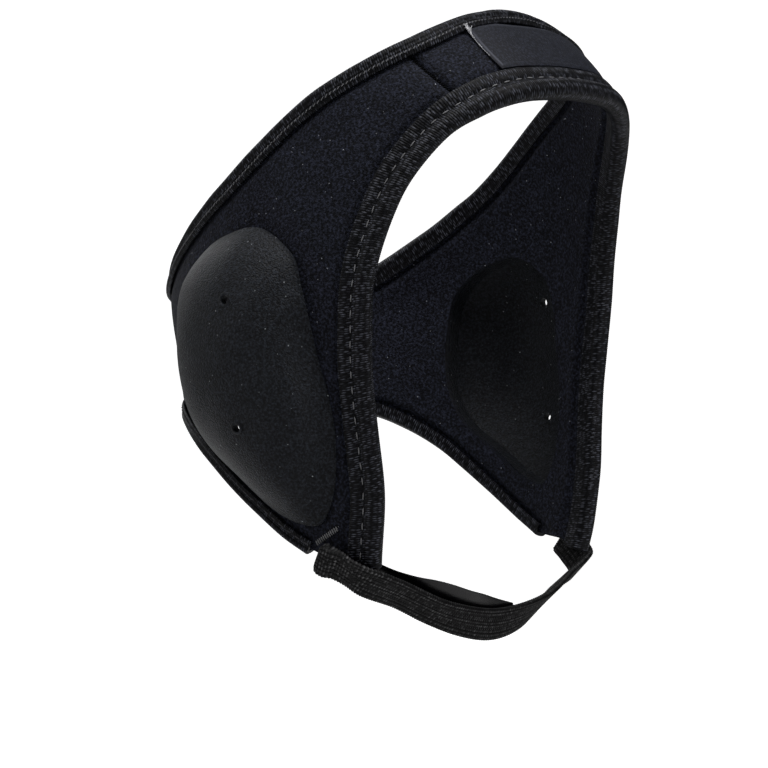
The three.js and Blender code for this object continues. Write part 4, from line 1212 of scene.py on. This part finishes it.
# Each line of stitches follows the tape or seam that it sews, at its own depth over the skin
grooveDepth = tapeOver + band["tapeLie"] - faceTape["groove"] + 0.22
groovePath = edgePath(
    outerEdge, -tipFrontRow + 0.15, tipFrontRow - 0.15, -1, faceTape["rollWidth"] + faceTape["grooveHalf"],
    grooveDepth,
)
ridgeIn = crownTape["width"] - band["ridgeInset"]
ridgePath = edgePath(loopCrown, -napeRow, napeRow, 1, ridgeIn, tapeOver + 0.72)
neckPath = edgePath(
    neckEdge, neckStart + 0.1, 2 * napeRow - neckStart - 0.1, -1, neckTape["rollWidth"] + 1.2, tapeOver + 0.2
)


def seamPath(row, low, high, depth):
    shares = np.linspace(low, high, 60)
    place = acrossBand(np.full(shares.shape, float(row)), shares)
    return skinPoint(*place, depth), outwardAt(*place)


def lineOnSkin(start, end, depth, count=24):
    f = np.linspace(0, 1, count)
    turn = start[0] + (end[0] - start[0]) * f
    height = heightOf(start[1] + (end[1] - start[1]) * f)
    return skinPoint(turn, height, depth), outwardAt(turn, height)


def sideways(path):
    return path[0] * (-1, 1, 1), path[1] * (-1, 1, 1)


seamLines = [seamPath(side * seamRow, 0.24, 0.66, 3.35) for side in (1, -1)]
seamLines.append(seamPath(napeRow, 0.22, 0.82, 3.7))
tackLine = lineOnSkin((77.3, -0.887), (70.6, -0.83), band["wall"] + 0.6)
# Name: lines, (pitch, length, thread), turn in degrees, thread material, slot; the row's number is the seed
stitchRows = {
    "faceStitches": ([groovePath], (5.6, 3.0, 0.55), 0, "greyThread", "tape"),
    "crownStitches": ([ridgePath], (1.9, 1.5, 0.26), 38, "greyThread", "tape"),
    "neckStitches": ([neckPath], (4.2, 2.4, 0.4), 0, "darkThread", "tape"),
    "seamStitches": (seamLines, (1.0, 1.5, 0.55), 78, "seamThread", "neoprene"),
    "strapTacks": ([tackLine, sideways(tackLine)], (0.9, 2.2, 0.6), 84, "tackThread", "webbing"),
}
for seed, (name, (lines, sizes, turn, material, slotName)) in enumerate(stitchRows.items(), 1):
    finishPiece(stitchRun(name, lines, sizes, turn, material, seed), material)
print("stitches made")

# Loose pale threads along the cut end of the label
fray = {
    "count": 18, "seed": 7, "radius": 0.1, "length": 3.6, "curl": 0.5, "lift": 0.25, "strands": 3,
    "edgeRadius": 0.06, "reach": 0.72, "reachStep": 0.22,
}


def threadTube(name, line, radius):
    along = unit(np.gradient(line, axis=0))
    side = unit(np.cross(along, np.array([0.3, 0.5, 0.81])))
    up = np.cross(along, side)
    angle = np.linspace(0, 2 * math.pi, 6, endpoint=False)
    ring = side[:, None] * np.cos(angle)[None, :, None] + up[:, None] * np.sin(angle)[None, :, None]
    return gridPiece(name, line[:, None] + ring * radius, closeColumns=True, caps="flat", sharp=80)


def labelEdge(depth):
    turn, height = (places[-1] for places in labelPlaces)
    return skinPoint(turn, height, depth), outwardAt(turn, height)


def frayPiece():
    rng = np.random.default_rng(fray["seed"])
    labelOver = band["wall"] + band["gap"] + label["wall"]
    corner, out = labelEdge(labelOver)
    down = unit(corner[6] - corner[0])
    away = unit(np.cross(out[0], down))
    tubes = []
    for k in range(fray["count"]):
        start = corner[0] + down * rng.uniform(-0.2, 3.2)
        spread = away * rng.uniform(-0.35, 0.55) + out[0] * rng.uniform(0.0, 0.4)
        lean = unit(spread - down * rng.uniform(0.6, 1.2))
        curl = unit(np.cross(lean, rng.normal(size=3)))
        f = np.linspace(0, 1, 8)[:, None]
        length = fray["length"] * rng.uniform(0.5, 1.0)
        line = start + lean * length * f + curl * fray["curl"] * f ** 2 + out[0] * fray["lift"]
        tubes.append(threadTube(f"fray{k}", line, fray["radius"]))
    edge, normals = labelEdge(labelOver + 0.05)
    f = np.linspace(0, 1, len(edge))
    for k in range(fray["strands"]):
        reach = int(len(edge) * (fray["reach"] - fray["reachStep"] * k))
        sway = 0.3 * (k - 1) * (1 - f) + 0.22 * np.sin(9 * f + 2 * k) * (1 - 0.6 * f)
        line = edge + away * sway[:, None] + normals * (0.12 * k * (1 - f))[:, None]
        tubes.append(threadTube(f"frayEdge{k}", line[:reach], fray["edgeRadius"]))
    return joined(tubes, "labelFray")


labelFray = finishPiece(frayPiece(), "paleThread")
print("loose threads made")

# Studio: pale floor that curves up behind, and large soft lights
studio = {
    "floorDrop": 0.3, "floorDepth": 4.0, "backRise": 4.0, "curve": 1.2, "tone": (0.7, 0.7, 0.7),
    "glow": 0.8, "world": 0.13,
}


def addStudio():
    turn = math.radians(cameraSetup["azimuth"])
    away = np.array([-math.sin(turn), math.cos(turn), 0])
    right = np.array([math.cos(turn), math.sin(turn), 0])
    flat, curve = studio["floorDepth"] - studio["curve"], studio["curve"]
    profile = [(-studio["floorDepth"], 0.0), (flat, 0.0)]
    bends = np.radians(np.linspace(8, 90, 12))
    profile += [(flat + curve * math.sin(a), curve * (1 - math.cos(a))) for a in bends]
    profile.append((studio["floorDepth"], studio["backRise"]))
    grid = np.array([
        [away * d + right * side + np.array([0, 0, rise - studio["floorDrop"]]) for side in (-6, 0, 6)]
        for d, rise in profile
    ]) / mm
    floor = gridPiece("floor", grid)
    material, tree, shader = newMaterial("paleFloor")
    shader.inputs["Base Color"].default_value = (*studio["tone"], 1)
    shader.inputs["Roughness"].default_value = 0.9
    shader.inputs["Emission Color"].default_value = (1, 1, 1, 1)
    seen = addNode(tree, "ShaderNodeLightPath").outputs["Is Camera Ray"]
    glow = mathNode(tree, "MULTIPLY", seen, studio["glow"])
    tree.links.new(glow, shader.inputs["Emission Strength"])
    floor.data.materials.append(material)
    world = bpy.data.worlds.new("studio")
    world.use_nodes = True
    world.node_tree.nodes["Background"].inputs["Color"].default_value = (1, 1, 1, 1)
    world.node_tree.nodes["Background"].inputs["Strength"].default_value = studio["world"]
    bpy.context.scene.world = world


def addLight(name, azimuth, elevation, distance, size, power):
    data = bpy.data.lights.new(name, "AREA")
    data.shape = "RECTANGLE"
    data.size, data.size_y = size
    data.energy = power
    light = bpy.data.objects.new(name, data)
    bpy.context.scene.collection.objects.link(light)
    a, e = math.radians(azimuth), math.radians(elevation)
    back = Vector((math.sin(a) * math.cos(e), -math.cos(a) * math.cos(e), math.sin(e)))
    light.location = back * distance
    light.rotation_mode = "QUATERNION"
    light.rotation_quaternion = back.to_track_quat("Z", "Y")


addStudio()
bpy.context.scene.view_settings.view_transform = "Standard"
addLight("overhead", -30, 74, 1.5, (1.2, 1.2), 62)
addLight("frontLeft", -130, 22, 1.6, (0.5, 1.3), 12)
addLight("frontRight", 15, 20, 1.7, (0.7, 1.2), 14)
addLight("behind", 165, 30, 1.8, (1.0, 1.0), 10)
